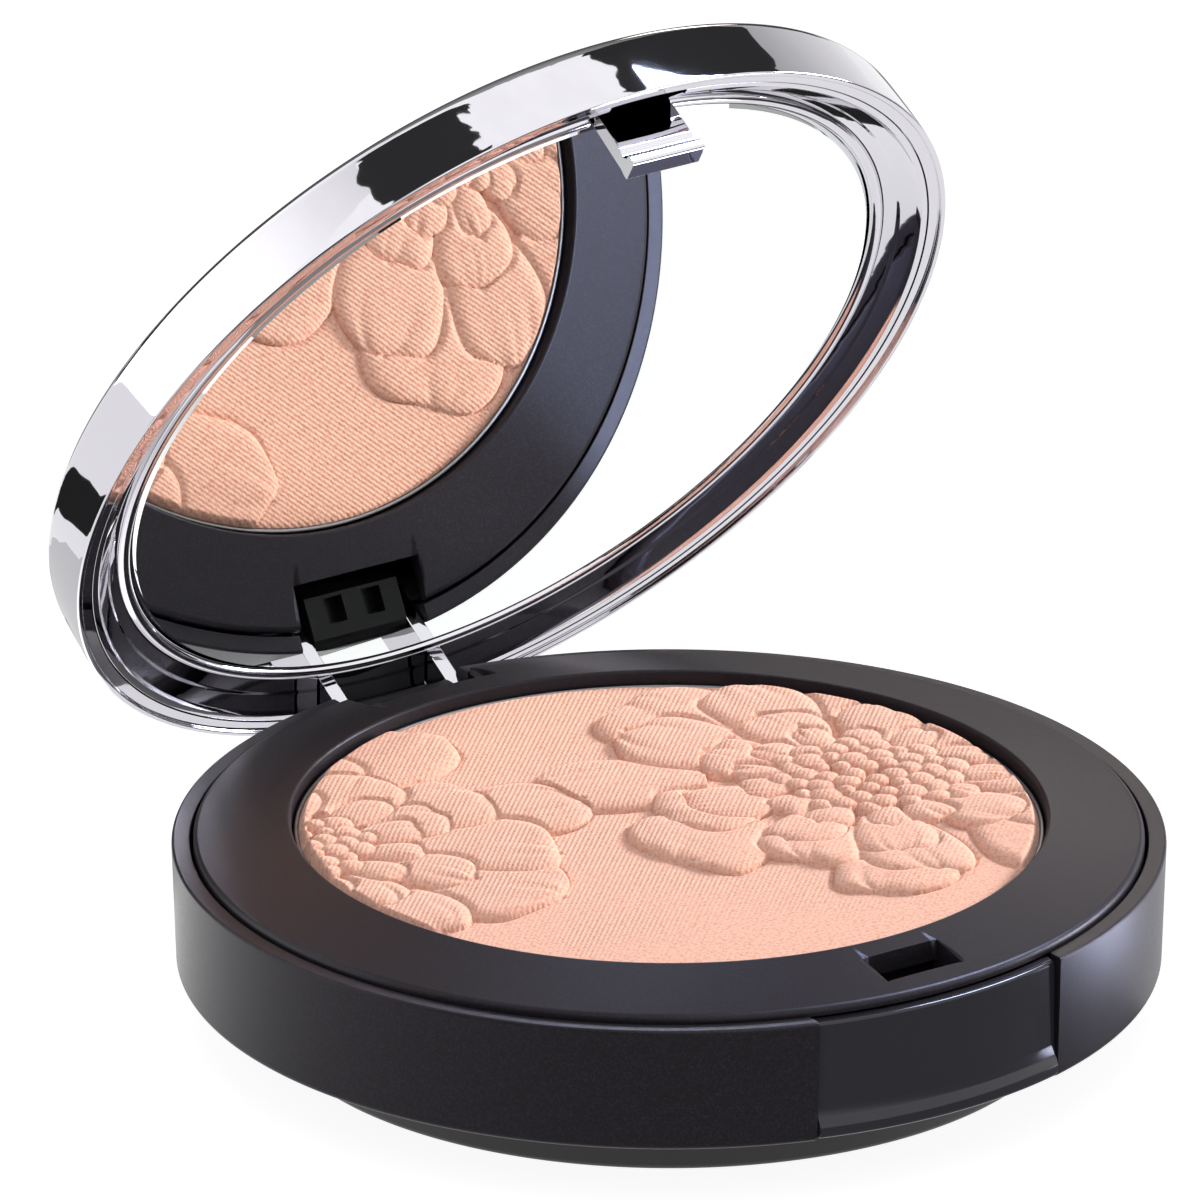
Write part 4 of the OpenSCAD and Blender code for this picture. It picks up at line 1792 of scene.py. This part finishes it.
@dataclass(frozen=True)
class Lamp:
    """A square soft lamp 1 m from the set's middle.

    azimuth is in degrees, 0 the front and 90 the right; elevation in degrees above the
    horizon; size is the side of its face in metres and power is in watts.
    """

    name: str
    azimuth: float
    elevation: float
    size: float
    power: float
    tint: str
    serves: Serves


LAMPS = (
    Lamp("key", 94, 19, 0.16, 21.0, "#fff6f3", Serves.DULL),
    Lamp("front", -35, 50, 0.6, 4.0, "#fff6f2", Serves.DULL),
    Lamp("side", 76, 12, 0.3, 10.0, "#eef0ff", Serves.GLOSSY),
    Lamp("cool", 86, 54, 0.3, 16.0, "#c2ceee", Serves.GLOSSY),
    Lamp("sheen", 139, 24, 0.2, 0.5, "#fff3ea", Serves.GLOSSY),
)


def toward(azimuth: np.ndarray | float, elevation: np.ndarray | float) -> np.ndarray:
    """Finds unit directions.

    Args:
        azimuth: Angles round the set in radians; 0 is the front, 90 degrees the right.
        elevation: Angles above the floor in radians.

    Returns:
        The directions along the last axis.
    """
    level = np.cos(elevation)
    return np.stack([np.sin(azimuth) * level, -np.cos(azimuth) * level, np.sin(elevation)], axis=-1)


@dataclass
class Studio:
    """Pale floor, soft lamps, cards that only reflections show, and the camera."""

    azimuth: float = math.radians(-34.2)
    elevation: float = math.radians(22.2)
    distance: float = 2246.0
    lens: float = 860.0
    shift_right: float = -5.405
    shift_up: float = 18.47
    aim_z: float = 15.0
    layer: float = 0.3
    layer_step: float = 0.06
    collar_z: float = 0.5
    collar_glow: float = 0.3
    world_glow: float = 0.32
    floor_glow: float = 0.9
    floor_side_m: float = 6.0
    floor_grain_mm: float = 100.0
    cloth_grain_mm: float = 250.0

    def axes(self) -> tuple[Vector, Vector, Vector]:
        """The camera's back, right and up directions."""
        back = Vector(toward(self.azimuth, self.elevation))
        right = Vector((math.cos(self.azimuth), math.sin(self.azimuth), 0.0))
        return back, right, back.cross(right)

    def camera(self) -> None:
        """Places the camera."""
        back, right, up = self.axes()
        data = bpy.data.cameras.new("camera")
        data.lens, data.sensor_width = self.lens, 36.0
        data.clip_start, data.clip_end = 0.05, 50.0
        cam = linked("camera", data)
        place = back * self.distance + right * self.shift_right + up * self.shift_up
        turn = Matrix((right, up, back)).transposed().to_4x4()
        cam.matrix_world = Matrix.Translation((place + Vector((0, 0, self.aim_z))) * MM) @ turn
        bpy.context.scene.camera = cam

    def spare_floor(self, lamp: Object) -> None:
        """Keeps a lamp's light, and so its shadows, off the floor.

        Args:
            lamp: The lamp.
        """
        spared = bpy.data.collections.new("spared_" + lamp.name)
        spared.objects.link(bpy.data.objects["floor"])
        lamp.light_linking.receiver_collection = spared
        spared.collection_objects[0].light_linking.link_state = "EXCLUDE"

    def floor(self) -> None:
        """A wide pale floor of opal acrylic, lit a little from below as on a product table."""
        mesh = bpy.data.meshes.new("floor")
        half = self.floor_side_m / 2
        corners = [(x * half, y * half, 0.0) for x, y in ((-1, -1), (1, -1), (1, 1), (-1, 1))]
        mesh.from_pydata(corners, [], [(0, 1, 2, 3)])
        linked("floor", mesh)
        recipe = Recipe("floor_acrylic_backlit")
        material = recipe.surface(
            {
                "Base Color": linear("#cdcdcf"),
                "Roughness": recipe.spread(recipe.noise(self.floor_grain_mm), 0.85, 0.95),
                "Specular IOR Level": 0.0,
                "Emission Color": linear("#ffffff"),
                "Emission Strength": self.floor_glow,
            }
        )
        mesh.materials.append(material)

    def patch(self, patch: SkyPatch) -> None:
        """A part of the sky round the set that only reflections show.

        Args:
            patch: Its limits and how bright it is.
        """
        rng = np.random.default_rng(patch.seed)
        phases = rng.uniform(0, 2 * math.pi, (4, 3))
        n = 60
        t = np.linspace(0, 1, n + 1)

        def wander(side: int) -> np.ndarray:
            """How far one edge strays along its length, in degrees."""
            steps = enumerate((3, 7, 13))
            return patch.wave * sum(np.sin(t * k * 2 * math.pi + phases[side, i]) / (i + 1) for i, k in steps)

        rise, across = np.meshgrid(t, t, indexing="ij")
        low = patch.az_low[0] + (patch.az_low[1] - patch.az_low[0]) * rise + wander(0)[:, None]
        high = patch.az_high[0] + (patch.az_high[1] - patch.az_high[0]) * rise + wander(1)[:, None]
        azimuth = np.radians(low * (1 - across) + high * across)
        bottom, top = patch.elevation[0] + wander(2), patch.elevation[1] + wander(3)
        elevation = np.radians(np.clip(bottom * (1 - rise) + top * rise, 0, 90))
        place = toward(azimuth, elevation)
        place[..., 2] = np.maximum(place[..., 2], 0.002)
        faces = [
            (i * (n + 1) + j, i * (n + 1) + j + 1, (i + 1) * (n + 1) + j + 1, (i + 1) * (n + 1) + j)
            for i in range(n)
            for j in range(n)
        ]
        glow = patch.glow[0] + (patch.glow[1] - patch.glow[0]) * rise
        self.unseen(patch.name, (place * patch.distance).reshape(-1, 3), faces, glow.reshape(-1))

    def unseen(
        self, name: str, verts: np.ndarray, faces: list[tuple], glow: np.ndarray, tint: str = "#ffffff"
    ) -> None:
        """Adds a card to the stage that only reflections show.

        Args:
            name: Name of the card.
            verts: Its points in metres.
            faces: Its faces.
            glow: How bright it is at each of its points; 0 is black felt.
            tint: Its colour.
        """
        mesh = bpy.data.meshes.new(name)
        mesh.from_pydata(verts.tolist(), [], faces)
        card = linked(name, mesh)
        level = mesh.attributes.new("glow", "FLOAT", "POINT")
        level.data.foreach_set("value", np.asarray(glow, dtype=np.float32))
        recipe = Recipe("card_cloth")
        uneven = recipe.spread(recipe.noise(self.cloth_grain_mm), 0.94, 1.06)
        light = add_node(recipe.tree, "ShaderNodeAttribute", {"attribute_name": "glow"}).outputs["Fac"]
        material = recipe.surface(
            {
                "Base Color": linear("#030304"),
                "Roughness": 1.0,
                "Specular IOR Level": 0.0,
                "Emission Color": linear(tint),
                "Emission Strength": recipe.sum("MULTIPLY", light, uneven),
            }
        )
        mesh.materials.append(material)
        card.visible_camera = card.visible_diffuse = card.visible_shadow = False
        card.visible_transmission = False

    def cloth(
        self,
        name: str,
        place: tuple[float, float],
        size: tuple[float, float],
        turn: float,
        glow: float = 0.02,
        tint: str = "#ffffff",
    ) -> None:
        """A cloth lying beside the set that only reflections show.

        Args:
            name: Name of the card.
            place: Its middle on the floor, in mm.
            size: Its length and width, in mm.
            turn: Its turn about the vertical, in degrees.
            glow: How bright it is.
            tint: Its colour.
        """
        count = 90
        a = np.linspace(0, 2 * math.pi, count, endpoint=False)
        blunt = (np.abs(np.cos(a)) ** 5 + np.abs(np.sin(a)) ** 5) ** (-1 / 5)
        ragged = 1 + 0.07 * np.sin(7 * a + 1) + 0.05 * np.sin(16 * a) + 0.03 * np.sin(31 * a + 2)
        x, y = size[0] / 2 * blunt * np.cos(a) * ragged, size[1] / 2 * blunt * np.sin(a) * ragged
        c, s = math.cos(math.radians(turn)), math.sin(math.radians(turn))
        verts = np.stack([place[0] + c * x - s * y, place[1] + s * x + c * y, np.full(count, self.layer)], 1)
        self.layer += self.layer_step
        self.unseen(name, verts * MM, [tuple(range(count))], np.full(count, glow), tint)

    def collar(
        self, name: str, azimuth: tuple[float, float], radius: tuple[float, float], glow: float = 0.02
    ) -> None:
        """A dark strip of cloth round part of the foot that only reflections show.

        Args:
            name: Name of the card.
            azimuth: Where it starts and ends, in degrees; 0 is the front, 90 the right.
            radius: Its inner and outer radius, in mm.
            glow: How bright its start is.
        """
        count = 60
        share = np.linspace(0, 1, count)
        a = np.radians(azimuth[0] + (azimuth[1] - azimuth[0]) * share)
        level = np.full(count, self.collar_z)
        ring = np.concatenate([np.stack([r * np.sin(a), -r * np.cos(a), level], 1) for r in radius])
        faces = [(k, k + 1, k + 1 + count, k + count) for k in range(count - 1)]
        self.unseen(name, ring * MM, faces, np.tile(self.collar_glow + glow * (1 - share) ** 4, 2))

    def lamp(self, plan: Lamp) -> None:
        """Hangs a lamp that only the surfaces it serves take light from.

        Args:
            plan: Where it hangs and how bright it is.
        """
        place = Vector(toward(math.radians(plan.azimuth), math.radians(plan.elevation)))
        data = bpy.data.lights.new(plan.name, "AREA")
        data.shape, data.size, data.energy = "SQUARE", plan.size, plan.power
        data.color = linear(plan.tint)[:3]
        lamp = linked(plan.name, data)
        lamp.location = place
        lamp.rotation_mode = "QUATERNION"
        lamp.rotation_quaternion = place.to_track_quat("Z", "Y")
        lamp.visible_camera = False
        lamp.visible_glossy = plan.serves is Serves.GLOSSY
        lamp.visible_diffuse = plan.serves is Serves.DULL
        self.spare_floor(lamp)

    def world(self) -> None:
        """Even white surroundings."""
        world = bpy.data.worlds.new("studio")
        world.use_nodes = True
        back = next(n for n in world.node_tree.nodes if n.type == "BACKGROUND")
        back.inputs["Color"].default_value = (1.0, 1.0, 1.0, 1.0)
        back.inputs["Strength"].default_value = self.world_glow
        bpy.context.scene.world = world
        bpy.context.scene.view_settings.view_transform = "Standard"

    def build(self) -> None:
        """Sets up the whole studio."""
        self.camera()
        self.world()
        self.floor()
        for plan in LAMPS:
            self.lamp(plan)
        for patch in SKY:
            self.patch(patch)
        self.cloth("cloth_low_front", (60, -190), (260, 170), 0)
        self.cloth("cloth_front", (-620, -260), (900, 900), 24)
        self.cloth("cloth_far_right", (700, -120), (920, 860), 0, 0.4)
        self.cloth("cloth_right", (172, -70), (150, 140), 0, 0.05)
        self.cloth("cloth_top", (72, 59), (52, 60), 0)
        self.cloth("cloth_grey_rear", (-30, 88), (60, 34), 20, 0.75)
        self.cloth("cloth_rear", (45, 92), (100, 56), 0)
        self.cloth("cloth_left", (-76, 126), (80, 45), 33)
        self.cloth("glow_right", (62, -46), (34, 32), 0, 20.0, "#d3d8f4")
        self.collar("collar", (-150, 52), (38.5, 80), 2.0)
        self.collar("cloth_far_front", (-60, 52), (80, 420), 0.0)
        self.collar("cloth_far_rear", (135, 190), (190, 1300))
        LOG.info("studio ready")


def write_sizes() -> None:
    """Brings the scene's placements up to date."""
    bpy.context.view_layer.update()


def main() -> None:
    """Builds the studio and every sub-assembly in order."""
    logging.basicConfig(level=logging.INFO, format="%(name)s %(message)s")
    Studio().build()
    Base().build()
    Button().build()
    Powder().build()
    Lid().build()
    dress_cad_nodes()
    write_sizes()


if __name__ == "__main__":
    main()
